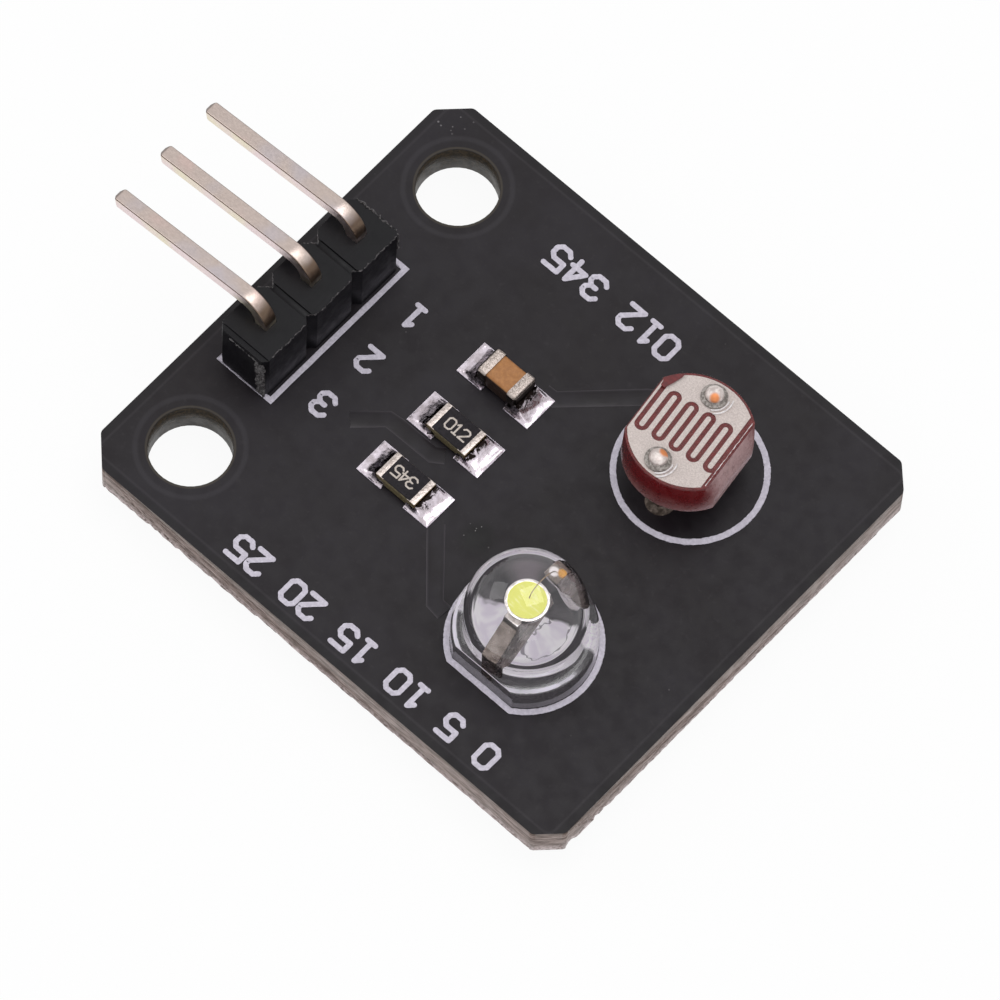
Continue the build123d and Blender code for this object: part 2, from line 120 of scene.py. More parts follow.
def close_edit():
    """Turns every face outwards and leaves edit mode."""
    bpy.ops.mesh.select_all(action="SELECT")
    bpy.ops.mesh.normals_make_consistent(inside=False)
    stop_edit()


print("one millimetre is", MM, "metres")

# %% [markdown]
# ## Camera
# The module was photographed from high above with a long lens, so that it hardly shows perspective.
# A camera could be dragged into place by eye. Here it is set by bearing, height, distance and a small
# roll about its own axis, which is how a copy stand would be read off, and easy to check.

# %% Camera
CAMERA_AIM = mm(10.118, -1.146, BOARD_TOP)
CAMERA_DISTANCE = 369.09 * MM
CAMERA_BEARING = math.radians(38.929)
CAMERA_HEIGHT = math.radians(65.449)
CAMERA_ROLL = math.radians(3.700)
FOCAL_LENGTH = 349.34
FILM_WIDTH = 36

toward_camera = Vector((
    math.sin(CAMERA_BEARING) * math.cos(CAMERA_HEIGHT),
    -math.cos(CAMERA_BEARING) * math.cos(CAMERA_HEIGHT),
    math.sin(CAMERA_HEIGHT),
))
lens_data = bpy.data.cameras.new("camera")
lens_data.sensor_width = FILM_WIDTH
lens_data.lens = FOCAL_LENGTH
lens_data.clip_start = 0.01
camera = bpy.data.objects.new("camera", lens_data)
camera.location = CAMERA_AIM + toward_camera * CAMERA_DISTANCE
camera.rotation_mode = "QUATERNION"
camera.rotation_quaternion = toward_camera.to_track_quat("Z", "Y") @ Quaternion((0, 0, 1), CAMERA_ROLL)
bpy.context.collection.objects.link(camera)
bpy.context.scene.camera = camera
bpy.context.scene.view_settings.view_transform = "Standard"
print("camera stands at", [round(v / MM, 1) for v in camera.location], "mm")

# %% [markdown]
# ## Light
# A product like this is shot in a light tent: white all round, a large soft panel overhead and weaker
# ones at the sides. A world colour alone would do that but looks flat on metal. Adding broad panels
# gives the pins and the solder something to reflect, and keeps every shadow soft.

# %% World and panels
world = bpy.data.worlds.new("light_tent")
bpy.context.scene.world = world
world.use_nodes = True
tent = world.node_tree
tent.nodes.clear()
WORLD_LEVEL = 0.55


def seen_directly(tree):
    """1 for a ray from the camera, a mirror or glass, 0 for a ray that only gathers light."""
    path = tree.nodes.new("ShaderNodeLightPath")
    first = tree.nodes.new("ShaderNodeMath")
    first.operation = "MAXIMUM"
    tree.links.new(path.outputs["Is Camera Ray"], first.inputs[0])
    tree.links.new(path.outputs["Is Glossy Ray"], first.inputs[1])
    both = tree.nodes.new("ShaderNodeMath")
    both.operation = "MAXIMUM"
    tree.links.new(first.outputs[0], both.inputs[0])
    tree.links.new(path.outputs["Is Transmission Ray"], both.inputs[1])
    return both.outputs[0]


soft = tent.nodes.new("ShaderNodeBackground")
soft.inputs["Color"].default_value = (0.97, 0.98, 1.0, 1.0)
soft.inputs["Strength"].default_value = WORLD_LEVEL
plain = tent.nodes.new("ShaderNodeBackground")
plain.inputs["Color"].default_value = (1.0, 1.0, 1.0, 1.0)
plain.inputs["Strength"].default_value = 1.0
tent_mix = tent.nodes.new("ShaderNodeMixShader")
tent_out = tent.nodes.new("ShaderNodeOutputWorld")
tent.links.new(seen_directly(tent), tent_mix.inputs[0])
tent.links.new(soft.outputs[0], tent_mix.inputs[1])
tent.links.new(plain.outputs[0], tent_mix.inputs[2])
tent.links.new(tent_mix.outputs[0], tent_out.inputs[0])


def panel(name, place, size, power, color=(1.0, 1.0, 1.0)):
    """A square soft panel that faces the middle of the module."""
    data = bpy.data.lights.new(name, "AREA")
    data.shape = "SQUARE"
    data.size = size * MM
    data.energy = power
    data.color = color
    lamp = bpy.data.objects.new(name, data)
    lamp.location = mm(*place)
    away = lamp.location - CAMERA_AIM
    lamp.rotation_mode = "QUATERNION"
    lamp.rotation_quaternion = away.to_track_quat("Z", "Y")
    bpy.context.collection.objects.link(lamp)
    return lamp


panel("panel_overhead", (40, 60, 420), 260, 0.55)
panel("panel_left", (-320, -120, 240), 220, 0.25)
panel("panel_right", (260, -260, 160), 200, 0.20)
print("world level", WORLD_LEVEL, "and three panels")

# %% [markdown]
# ## Floor
# The photograph has a white ground with next to no shadow. A plane with a bright emission would be
# white but would swallow the shadow. Mixing a little plain white paint into the emission keeps a trace
# of the shadow, and the floor still bounces light like card.

# %% Floor
GLOW_SHARE = 0.94
deselect()
bpy.ops.mesh.primitive_plane_add(size=0.9, location=mm(8, 0, FLOOR_HEIGHT))
floor = bpy.context.object
floor.name = "floor"
card = bpy.data.materials.new("white_card")
card.use_nodes = True
tree = card.node_tree
tree.nodes.clear()
paint = tree.nodes.new("ShaderNodeBsdfDiffuse")
paint.inputs["Color"].default_value = (0.93, 0.93, 0.93, 1.0)
glow = tree.nodes.new("ShaderNodeEmission")
share = tree.nodes.new("ShaderNodeMath")
share.operation = "MULTIPLY"
share.inputs[1].default_value = GLOW_SHARE
mixed = tree.nodes.new("ShaderNodeMixShader")
out = tree.nodes.new("ShaderNodeOutputMaterial")
tree.links.new(seen_directly(tree), share.inputs[0])
tree.links.new(share.outputs[0], mixed.inputs[0])
tree.links.new(paint.outputs[0], mixed.inputs[1])
tree.links.new(glow.outputs[0], mixed.inputs[2])
tree.links.new(mixed.outputs[0], out.inputs[0])
floor.data.materials.append(card)
print("floor lies at", FLOOR_HEIGHT, "mm, where the lead ends stand")

# %% [markdown]
# ## A bench for materials
# Every finish on the module is a Principled shader whose colour, gloss and relief vary a little.
# The nodes could be placed one by one each time. A small bench class adds them with one call each, and
# it reads the place on the object in millimetres, so that a grain of 0.2 means a fifth of a millimetre.


# %% Material bench
def paint_chip(r, g, b):
    """A colour as read off a screen, 0 to 255, turned into the linear numbers that shaders use."""
    return tuple(((v / 255 + 0.055) / 1.055) ** 2.4 if v > 10 else v / 3294.6 for v in (r, g, b)) + (1.0,)


class Finish:
    """One material with a Principled shader and short calls that add detail to it."""

    def __init__(self, name, color, rough, metal=0.0, **sockets):
        self.material = bpy.data.materials.new(name)
        self.material.use_nodes = True
        self.tree = self.material.node_tree
        self.tree.nodes.clear()
        self.shader = self.tree.nodes.new("ShaderNodeBsdfPrincipled")
        self.out = self.tree.nodes.new("ShaderNodeOutputMaterial")
        self.link(self.shader.outputs[0], self.out.inputs[0])
        self.shader.inputs["Base Color"].default_value = paint_chip(*color)
        self.shader.inputs["Roughness"].default_value = rough
        self.shader.inputs["Metallic"].default_value = metal
        for socket, value in sockets.items():
            self.shader.inputs[socket.replace("_", " ")].default_value = value
        where = self.tree.nodes.new("ShaderNodeTexCoord")
        scale = self.tree.nodes.new("ShaderNodeMapping")
        scale.inputs["Scale"].default_value = (1 / MM, 1 / MM, 1 / MM)
        self.link(where.outputs["Object"], scale.inputs["Vector"])
        self.place = scale.outputs[0]

    def link(self, a, b):
        self.tree.links.new(a, b)

    def put(self, value, socket):
        """Sets a plain number or colour, or joins a node's output."""
        if isinstance(value, bpy.types.NodeSocket):
            self.link(value, socket)
        elif isinstance(value, tuple):
            socket.default_value = paint_chip(*value) if len(value) == 3 else value
        else:
            socket.default_value = value

    def stretch(self, x, y, z):
        """The place, stretched, for grain that runs one way."""
        node = self.tree.nodes.new("ShaderNodeMapping")
        node.inputs["Scale"].default_value = (x, y, z)
        self.link(self.place, node.inputs["Vector"])
        return node.outputs[0]

    def grain(self, size, detail=3.0, rough=0.55, place=None, distort=0.0):
        """Cloudy noise from 0 to 1, whose grains are about size millimetres."""
        node = self.tree.nodes.new("ShaderNodeTexNoise")
        node.inputs["Scale"].default_value = 1 / size
        node.inputs["Detail"].default_value = detail
        node.inputs["Roughness"].default_value = rough
        node.inputs["Distortion"].default_value = distort
        self.link(place or self.place, node.inputs["Vector"])
        return node.outputs[0]

    def cells(self, size, place=None):
        """Distance to the nearest of many scattered points, for specks and pits."""
        node = self.tree.nodes.new("ShaderNodeTexVoronoi")
        node.inputs["Scale"].default_value = 1 / size
        self.link(place or self.place, node.inputs["Vector"])
        return node.outputs["Distance"]

    def span(self, value, low, high, start=0.0, end=1.0, smooth=True):
        """Maps low..high onto start..end and holds it outside."""
        node = self.tree.nodes.new("ShaderNodeMapRange")
        node.interpolation_type = "SMOOTHSTEP" if smooth else "LINEAR"
        self.put(value, node.inputs["Value"])
        for socket, number in zip(("From Min", "From Max", "To Min", "To Max"), (low, high, start, end)):
            node.inputs[socket].default_value = number
        return node.outputs[0]

    def math(self, operation, a, b):
        node = self.tree.nodes.new("ShaderNodeMath")
        node.operation = operation
        self.put(a, node.inputs[0])
        self.put(b, node.inputs[1])
        return node.outputs[0]

    def mix(self, share, a, b):
        """Colour a where share is 0 and b where it is 1."""
        node = self.tree.nodes.new("ShaderNodeMix")
        node.data_type = "RGBA"
        self.put(share, node.inputs[0])
        self.put(a, node.inputs[6])
        self.put(b, node.inputs[7])
        return node.outputs[2]

    def mottle(self, size, dark, light, detail=4.0, low=0.35, high=0.7):
        """Two tones in clouds whose grains are about size millimetres."""
        return self.mix(self.span(self.grain(size, detail), low, high), dark, light)

    def axis(self, name):
        """One coordinate of the place, in millimetres."""
        node = self.tree.nodes.new("ShaderNodeSeparateXYZ")
        self.link(self.place, node.inputs[0])
        return node.outputs[name]

    def facing(self, name):
        """How far the surface faces along one axis, from -1 to 1."""
        node = self.tree.nodes.new("ShaderNodeNewGeometry")
        split = self.tree.nodes.new("ShaderNodeSeparateXYZ")
        self.link(node.outputs["Normal"], split.inputs[0])
        return split.outputs[name]

    def near(self, point, radius, soft):
        """1 close to a point and 0 beyond radius, with a soft edge."""
        node = self.tree.nodes.new("ShaderNodeVectorMath")
        node.operation = "DISTANCE"
        self.link(self.place, node.inputs[0])
        node.inputs[1].default_value = point
        return self.span(node.outputs["Value"], radius - soft, radius + soft, 1.0, 0.0)

    def color(self, value):
        self.put(value, self.shader.inputs["Base Color"])

    def rough(self, value, low, high):
        self.link(self.span(value, 0.3, 0.7, low, high), self.shader.inputs["Roughness"])

    def bump(self, value, depth, strength=1.0):
        """Relief whose full height is depth millimetres."""
        node = self.tree.nodes.new("ShaderNodeBump")
        node.inputs["Strength"].default_value = strength
        node.inputs["Distance"].default_value = depth * MM
        self.link(value, node.inputs["Height"])
        self.link(node.outputs[0], self.shader.inputs["Normal"])


def dress(node_name, finish):
    """Gives a carried-over solid its finish, on its object's own slot."""
    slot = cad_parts[node_name].material_slots[0]
    slot.link = "OBJECT"
    slot.material = finish.material


def settle(piece, slot_name, finish, *stands_for):
    """Last steps of a new piece: finish, body, and the solids that it stands for. slot_name is not used."""
    piece.data.materials.clear()
    piece.data.materials.append(finish.material)
    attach(piece, "root")
    if stands_for:
        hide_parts(*stands_for)
    print(piece.name, "has", len(piece.data.polygons), "faces")


print("bench ready")

# %% [markdown]
# ## Shaped copies of solids
# Many solids have the right outline but knife-sharp edges, and sharp edges catch no light. The solid
# itself must stay as it is, so a copy of its mesh is merged, its flat faces are joined, and a bevel
# modifier rounds the edges. A second modifier weighs the shading by face size, so that large flat faces
# look flat. That is quicker than modelling each piece again, and it cannot drift.


# %% Copy helper
def apply_all(piece):
    hold(piece)
    for modifier in list(piece.modifiers):
        bpy.ops.object.modifier_apply(modifier=modifier.name)


def merged_copy(node_name, piece_name, flat_faces=True):
    """A copy of a solid's mesh with its loose triangles joined, into flat faces where that is wanted."""
    piece = bpy.data.objects.new(piece_name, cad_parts[node_name].data.copy())
    piece.data.name = piece_name
    bpy.context.collection.objects.link(piece)
    edit(piece)
    bpy.ops.mesh.customdata_custom_splitnormals_clear()
    bpy.ops.mesh.remove_doubles(threshold=0.002 * MM)
    if flat_faces:
        bpy.ops.mesh.dissolve_limited(angle_limit=math.radians(1.0))
    stop_edit()
    return piece


def even_shading(piece, angle=35):
    hold(piece)
    bpy.ops.object.shade_smooth_by_angle(angle=math.radians(angle))
    weigh = piece.modifiers.new("shading", "WEIGHTED_NORMAL")
    weigh.keep_sharp = True
    apply_all(piece)


def rounded_copy(node_name, piece_name, width, segments=2, angle=30.0):
    """A merged copy with its edges rounded by width millimetres."""
    piece = merged_copy(node_name, piece_name)
    if width:
        bevel = piece.modifiers.new("edges", "BEVEL")
        bevel.width = width * MM
        bevel.segments = segments
        bevel.limit_method = "ANGLE"
        bevel.angle_limit = math.radians(angle)
        apply_all(piece)
    even_shading(piece)
    return piece


print("copies are merged within 0.002 mm")

# %% [markdown]
# ## Board
# The board is glass cloth in resin, routed to shape, with a dark lacquer on both faces. The cut sides
# show the cloth as brown-grey layers, darkest just under the lacquer, and the lower edge is frayed. Wear
# like this could be left to a texture, but an edge that is seen against white needs a real outline. So
# the lower edge of a copy is divided finely and its points are pushed in a little, each by its own amount.
# The faces of this copy stay triangles, because one big face with holes in it would close over them.
# Edge select mode comes first: in point mode Blender would also take every edge between two chosen ends.
# Faces with many corners are ruled out too, since they would fold over once their points are moved.

# %% Board shape
BOARD_MIDDLE = 9.1
BOARD_HALF_LENGTH = 12.05
BOARD_HALF_WIDTH = 10.5
FRAY_STEPS = (0.0, 0.0, 0.01, 0.02, 0.04, 0.09)
SHORTEST_SIDE = 3
CUTS_PER_SIDE = 100
FOOT_REACH = 0.01
RIM_REACH = 0.005
board = merged_copy("circuit_board", "board_routed", flat_faces=False)
edit(board, "EDGE")
stop_edit()
mesh = board.data


def on_rim(point):
    """Whether a point lies on one of the board's four long sides."""
    x = abs(point.x / MM - BOARD_MIDDLE)
    y = abs(point.y / MM)
    return x > BOARD_HALF_LENGTH - RIM_REACH or y > BOARD_HALF_WIDTH - RIM_REACH


side_edges = set()
for face in mesh.polygons:
    if abs(face.normal.z) < 0.3:
        side_edges.update(face.edge_keys)
for item in list(mesh.vertices) + list(mesh.edges) + list(mesh.polygons):
    item.select = False
for edge in mesh.edges:
    ends = [mesh.vertices[i].co for i in edge.vertices]
    length = (ends[0] - ends[1]).length / MM
    is_low = all(abs(p.z) < FOOT_REACH * MM for p in ends)
    edge.select = edge.key in side_edges and length > SHORTEST_SIDE and is_low
bpy.ops.object.mode_set(mode="EDIT")
bpy.ops.mesh.subdivide(number_cuts=CUTS_PER_SIDE, ngon=False)
stop_edit()
dice = random.Random(4)
frayed = 0
for vertex in mesh.vertices:
    if abs(vertex.co.z) > FOOT_REACH * MM or not on_rim(vertex.co):
        continue
    inward = dice.choice(FRAY_STEPS) * MM
    side_x = vertex.co.x / MM - BOARD_MIDDLE
    if abs(side_x) > BOARD_HALF_LENGTH - RIM_REACH:
        vertex.co.x -= math.copysign(inward, side_x)
    else:
        vertex.co.y -= math.copysign(inward, vertex.co.y)
    frayed += 1
print("frayed points along the lower edge:", frayed)

# %% [markdown]
# The finish picks its layer by height and place: lacquer above and below, cloth between. The lacquer comes
# first. It is nearly black, cloudy when seen close, with a few specks of dust, a scuffed corner and one
# dull stain. A picture could be wrapped round the board, but noise is sharp at any size and needs no file.

# %% Lacquer tones
SCUFFED_CORNER = (-2.25, 9.8, BOARD_TOP)
STAIN = (10.57, -2.89, BOARD_TOP)
lacquer = Finish("board_lacquer", (28, 25, 28), 0.42, Specular_IOR_Level=0.24)
height = lacquer.axis("Z")
is_mask = lacquer.math(
    "MAXIMUM",
    lacquer.span(height, BOARD_TOP - 0.06, BOARD_TOP - 0.03),
    lacquer.span(lacquer.facing("Z"), -0.9, -0.8, 1.0, 0.0))
mask_color = lacquer.mottle(3.0, (22, 17, 21), (30, 26, 31))
mask_color = lacquer.mix(lacquer.span(lacquer.grain(0.22), 0.55, 0.85, 0.0, 0.5), mask_color, (44, 40, 43))
dust = lacquer.span(lacquer.cells(1.7), 0.0, 0.03, 0.6, 0.0)
mask_color = lacquer.mix(dust, mask_color, (110, 106, 108))
scuffed = lacquer.near(SCUFFED_CORNER, 0.75, 0.3)
scuffed = lacquer.math("MULTIPLY", scuffed, lacquer.span(lacquer.cells(0.3), 0.1, 0.18, 0.8, 0.0))
mask_color = lacquer.mix(scuffed, mask_color, (150, 146, 148))
stain = lacquer.near(STAIN, 0.62, 0.3)
stain_speck = lacquer.math("MULTIPLY", stain, lacquer.span(lacquer.cells(0.24), 0.05, 0.1, 1.0, 0.0))
mask_color = lacquer.mix(lacquer.math("MULTIPLY", stain, 0.7), mask_color, (13, 12, 12))
mask_color = lacquer.mix(stain_speck, mask_color, (170, 166, 166))
print("lacquer tones use", len(lacquer.tree.nodes), "nodes")

# %% [markdown]
# Round each mounting hole the copper under the lacquer leaves a faint ring, and the drill leaves a thin
# pale lip. A faint line follows the rim. Such marks depend only on a distance, from the hole's middle or
# from the rim, so the finish measures it and needs no drawing.

# %% Rings and rim line
HOLES_Y = (-7.55, 7.55)
HOLE_MARKS = ((2.22, 2.02, 0.07, 0.16, (80, 77, 82)), (1.74, 1.66, 0.03, 0.3, (96, 88, 72)))
for hole_y in HOLES_Y:
    place = (0.0, hole_y, BOARD_TOP)
    for outer, inner, soft, strength, tone in HOLE_MARKS:
        ring = lacquer.math("SUBTRACT", lacquer.near(place, outer, soft), lacquer.near(place, inner, soft))
        mask_color = lacquer.mix(lacquer.math("MULTIPLY", ring, strength), mask_color, tone)
from_side = lacquer.math("SUBTRACT", lacquer.math("ABSOLUTE", lacquer.axis("Y"), 0.0), BOARD_HALF_WIDTH)
off_middle = lacquer.math("SUBTRACT", lacquer.axis("X"), BOARD_MIDDLE)
from_end = lacquer.math("SUBTRACT", lacquer.math("ABSOLUTE", off_middle, 0.0), BOARD_HALF_LENGTH)
inside = lacquer.math("SMOOTH_MAX", from_side, from_end)
rim_line = lacquer.math(
    "MULTIPLY", lacquer.span(inside, -0.46, -0.38), lacquer.span(inside, -0.36, -0.3, 1.0, 0.0))
mask_color = lacquer.mix(lacquer.math("MULTIPLY", rim_line, 0.1), mask_color, (92, 88, 92))
rim_dark = lacquer.span(inside, -0.34, -0.22, 0.0, 0.6)
mask_color = lacquer.mix(rim_dark, mask_color, (17, 14, 17))
print("with rings and rim", len(lacquer.tree.nodes), "nodes")

# %% [markdown]
# The cut sides show the glass cloth: brown-grey layers that run along the board, pale fuzz low down and a
# darker band under the lacquer. The walls of the mounting holes are painted darker and browner, as painted
# shade inside the holes. The threads could be drawn as stripes, but noise that is stretched far along the
# board looks woven and never repeats.

# %% Cut sides
weave = lacquer.grain(0.1, 5.0, 0.65, lacquer.stretch(0.14, 0.14, 1.0))
threads = lacquer.grain(0.13, 2.0, 0.5, lacquer.stretch(0.03, 0.03, 1.0))
fuzz = lacquer.grain(0.16, 4.0, 0.7)
cloth = lacquer.mix(lacquer.span(weave, 0.35, 0.66), (98, 83, 77), (172, 155, 149))
cloth = lacquer.mix(lacquer.span(threads, 0.54, 0.66, 0.0, 0.55), cloth, (84, 73, 65))
low = lacquer.math("MULTIPLY", lacquer.span(height, 0.1, 0.6, 1.0, 0.0), lacquer.span(fuzz, 0.38, 0.58))
cloth = lacquer.mix(lacquer.math("MULTIPLY", low, 0.75), cloth, (218, 202, 202))
shade = lacquer.span(height, BOARD_TOP - 0.4, BOARD_TOP - 0.08, 0.0, 0.5)
cloth = lacquer.mix(shade, cloth, (80, 68, 56))
WALL_REACH = 1.95
hole_walls = [lacquer.near((0.0, hole_y, BOARD_TOP / 2), WALL_REACH, 0.05) for hole_y in HOLES_Y]
holes = lacquer.math("MAXIMUM", *hole_walls)
# The hole walls get a dark brown: painted shade inside the mounting holes.
shaded_wall = lacquer.mix(lacquer.span(fuzz, 0.4, 0.65), (28, 22, 13), (60, 48, 31))
cloth = lacquer.mix(holes, cloth, shaded_wall)
lacquer.color(lacquer.mix(is_mask, cloth, mask_color))
lacquer.rough(lacquer.grain(0.6), 0.38, 0.54)
relief = lacquer.math("MULTIPLY", weave, lacquer.span(height, BOARD_TOP - 0.03, BOARD_TOP, 1.0, 0.1))
lacquer.bump(relief, 0.05, 0.8)
settle(board, "board", lacquer, "circuit_board")
print("board finish has", len(lacquer.tree.nodes), "nodes")

# %% [markdown]
# ## Ridges of the copper tracks
# Copper runs under the lacquer and lifts it by a hair, which shows as faint lines where the light
# catches the ridge. A bump texture would need its own drawing of the tracks. It is simpler to lay down
# real ribs: a curve along each track, given a round section, made a mesh and pressed almost flat. Blender's
# cutting plane takes points within a tenth of a millimetre as lying on it, which on a module this small
# is far too coarse, so that reach is set much finer.


# %% Rib helper
CUT_CLOSE = 0.0001 * MM


def rib(name, points, half_width, level, rise):
    """A low rounded rib along points on the board, rise millimetres high."""
    deselect()
    data = bpy.data.curves.new(name, "CURVE")
    data.dimensions = "3D"
    data.bevel_depth = half_width * MM
    data.bevel_resolution = 4
    data.use_fill_caps = True
    spline = data.splines.new("POLY")
    spline.points.add(len(points) - 1)
    for knot, (x, y) in zip(spline.points, points):
        knot.co = (x * MM, y * MM, 0.0, 1.0)
    piece = bpy.data.objects.new(name, data)
    bpy.context.collection.objects.link(piece)
    hold(piece)
    bpy.ops.object.convert(target="MESH")
    piece = bpy.context.object
    edit(piece)
    bpy.ops.mesh.remove_doubles(threshold=CUT_CLOSE)
    bpy.ops.mesh.bisect(
        plane_co=(0, 0, 0), plane_no=(0, 0, 1), use_fill=True, clear_inner=True, threshold=CUT_CLOSE)
    bpy.ops.mesh.select_all(action="SELECT")
    bpy.ops.transform.resize(value=(1, 1, rise / half_width), center_override=(0, 0, 0))
    bpy.ops.transform.translate(value=(0, 0, level * MM))
    stop_edit()
    even_shading(piece, 60)
    return piece


print("ribs are cut flat with a reach of", round(CUT_CLOSE / MM, 6), "mm")

# %% [markdown]
# Three of the board's tracks catch the light in the photograph, so only those get a ridge. Each is listed
# by the points where it bends. Its flanks are painted a little paler than the lacquer, a painted highlight
# where the edge catches the light.

# %% Track ridges
TRACKS = {
    "track_ridge_1": [(8.3, 3.35), (8.8, 3.4), (11.34, 5.9), (11.5, 6.0)],
    "track_ridge_2": [(3.65, -2.54), (4.72, -1.54), (5.2, -1.5), (6.95, -1.5), (7.35, -1.2)],
    "track_ridge_3": [(9.02, -3.55), (11.2, -6.0), (11.75, -6.05)],
}
ridge = Finish("ridge_lacquer", (28, 24, 28), 0.4, Specular_IOR_Level=0.24)
top_tone = ridge.mottle(1.0, (23, 18, 22), (31, 27, 32))
# Flanks that face sideways are painted paler: a painted highlight on the ridge's edges.
ridge.color(ridge.mix(ridge.span(ridge.facing("Z"), 0.93, 0.995, 1.0, 0.0), top_tone, (62, 58, 62)))
ridge.rough(ridge.grain(0.6), 0.36, 0.5)
ridge.bump(ridge.grain(0.4), 0.004, 0.5)
TRACK_HALF_WIDTH = 0.36
TRACK_RISE = 0.04
for name, points in TRACKS.items():
    settle(rib(name, points, TRACK_HALF_WIDTH, BOARD_TOP, TRACK_RISE), "board", ridge)

# %% [markdown]
# ## Printed ink
# The white lines are silk-screened: thick, slightly grainy ink with soft gloss. A flat white would look
# like paper, so fine noise shifts its tone and a small relief breaks the light.

# %% Ink finish
ink = Finish("white_ink", (222, 216, 230), 0.6)
ink.color(ink.mottle(0.12, (196, 190, 202), (218, 212, 224), high=0.75))
ink.rough(ink.grain(0.2), 0.5, 0.7)
ink.bump(ink.grain(0.08, 4.0), 0.012, 0.5)
print("ink has", len(ink.tree.nodes), "nodes")

# %% [markdown]
# Screen print has a slightly ragged edge, because the ink passes a mesh. The solids of the printed lines
# are exact, so a copy of each is divided and its points are moved sideways a little. The same is done to
# the printed numbers later.

# %% Frayed print
dice_ink = random.Random(12)


def fray_ink(piece, cuts, amount):
    """Moves the points of flat print sideways by up to amount millimetres, for edges like screen print."""
    edit(piece)
    bpy.ops.mesh.subdivide(number_cuts=cuts)
    stop_edit()
    for vertex in piece.data.vertices:
        vertex.co.x += dice_ink.uniform(-amount, amount) * MM
        vertex.co.y += dice_ink.uniform(-amount, amount) * MM


PRINT_CUTS = {"header_outline_ink": 6, "lamp_outline_ink": 6, "cell_outline_ink": 4}
for node_name, cuts in PRINT_CUTS.items():
    line = merged_copy(node_name, node_name + "_frayed")
    edit(line, "EDGE")
    bpy.ops.mesh.quads_convert_to_tris()
    stop_edit()
    fray_ink(line, cuts, 0.02)
    settle(line, "white_ink", ink, node_name)

# %% [markdown]
# ## Header housing
# The black strip that carries the pins is moulded plastic, snapped off a longer strip. Its faces are
# satin, its edges rounded by a hair. The rounding comes from the copy, the faint long scuffs from noise
# that is stretched along the strip.

# %% Header housing
plastic = Finish("header_plastic", (16, 15, 18), 0.4, Specular_IOR_Level=0.2)
scuff = plastic.grain(0.25, 4.0, 0.6, plastic.stretch(1.0, 0.25, 1.0))
plastic.color(plastic.mix(plastic.span(scuff, 0.6, 0.9), (10, 9, 13), (24, 23, 27)))
plastic.rough(plastic.grain(0.5), 0.34, 0.5)
plastic.bump(plastic.grain(0.1, 4.0), 0.01, 0.5)
housing = rounded_copy("header_housing", "header_housing_moulded", 0.05, 2)
settle(housing, "header_plastic", plastic, "header_housing")

# %% [markdown]
# Where the strip was snapped and trimmed, thin ragged lips of plastic stand on its edges and catch the
# light. They are far too irregular to model face by face. A thin rod is laid along each edge and divided
# many times, and every ring of its points is swollen and moved by seeded random amounts, which tears it in
# a repeatable way.


# %% Burr helper
def burr(name, start, end, thick, ragged, cuts, seed):
    """A torn lip of plastic along a straight edge, from start to end in millimetres."""
    deselect()
    a = Vector(start)
    b = Vector(end)
    run = b - a
    bpy.ops.mesh.primitive_cylinder_add(vertices=5, radius=thick * MM, depth=run.length * MM)
    piece = fresh(name)
    edit(piece)
    for cut in range(1, cuts):
        level = (cut / cuts - 0.5) * run.length * MM
        bpy.ops.mesh.select_all(action="SELECT")
        bpy.ops.mesh.bisect(plane_co=(0, 0, level), plane_no=(0, 0, 1), threshold=CUT_CLOSE)
    stop_edit()
    roll = random.Random(seed)
    turn = run.to_track_quat("Z", "Y")
    middle = (a + b) / 2 * MM
    rings = {}
    for vertex in piece.data.vertices:
        key = round(vertex.co.z / MM, 3)
        if key not in rings:
            rings[key] = (roll.uniform(0.25, 1.25), roll.uniform(-1, 1), roll.uniform(-1, 1))
        swell, dx, dy = rings[key]
        across = vertex.co.x * swell + dx * ragged * MM
        outward = vertex.co.y * swell + dy * ragged * MM
        vertex.co = turn @ Vector((across, outward, vertex.co.z)) + middle
    hold(piece)
    bpy.ops.object.shade_flat()
    return piece


print("burrs are cut with a reach of", round(CUT_CLOSE / MM, 6), "mm")

# %% [markdown]
# The lips stand along the tops of the three blocks, in the notches and at both ends. They are thickest at
# the near corner, where four torn strands hang down. All of them are joined into one piece.

# %% Torn lips on the housing
torn = Finish("torn_plastic", (74, 71, 72), 0.5, Specular_IOR_Level=0.4)
torn.color(torn.mottle(0.1, (34, 32, 34), (92, 88, 89)))
torn.rough(torn.grain(0.2), 0.35, 0.6)
torn.bump(torn.grain(0.06, 4.0), 0.02, 0.8)
FRONT = 0.665
BACK = -1.765
TOP = 4.59
NEAR_END = -4.1
FAR_END = 3.44
BLOCKS = ((-3.72, -1.85), (-1.15, 0.7), (1.4, 3.28))
NOTCHES = (-1.5, 1.04)
NOTCH_REACH = 0.42
CORNER_STRANDS = ((0.26, 0.06), (0.36, 0.09), (0.48, 0.1), (0.58, 0.08))
lips = []
for block, (low_y, high_y) in enumerate(BLOCKS):
    low_end = (FRONT, low_y, TOP)
    high_end = (FRONT, high_y, TOP)
    lips.append(burr(
        f"lip_front_{block}", low_end, high_end, thick=0.028, ragged=0.03, cuts=26, seed=block))
for notch, y in enumerate(NOTCHES):
    root = (BACK + NOTCH_REACH, y, TOP)
    for side, seed, mouth_y in (("a", 20, y - NOTCH_REACH), ("b", 30, y + NOTCH_REACH)):
        mouth = (BACK, mouth_y, TOP)
        lips.append(burr(
            f"lip_notch_{notch}_{side}", mouth, root, thick=0.022, ragged=0.015, cuts=9, seed=seed + notch))
    start = (FRONT - 0.3, y, TOP - 0.1)
    end = (FRONT, y + 0.3, TOP - 0.02)
    lips.append(burr(
        f"lip_front_notch_{notch}", start, end, thick=0.035, ragged=0.04, cuts=9, seed=40 + notch))
inner = (-1.55, FAR_END, TOP)
outer = (0.5, FAR_END, TOP)
lips.append(burr("lip_far_end", inner, outer, thick=0.05, ragged=0.05, cuts=34, seed=50))
upper = (0.6, FAR_END - 0.04, TOP - 0.1)
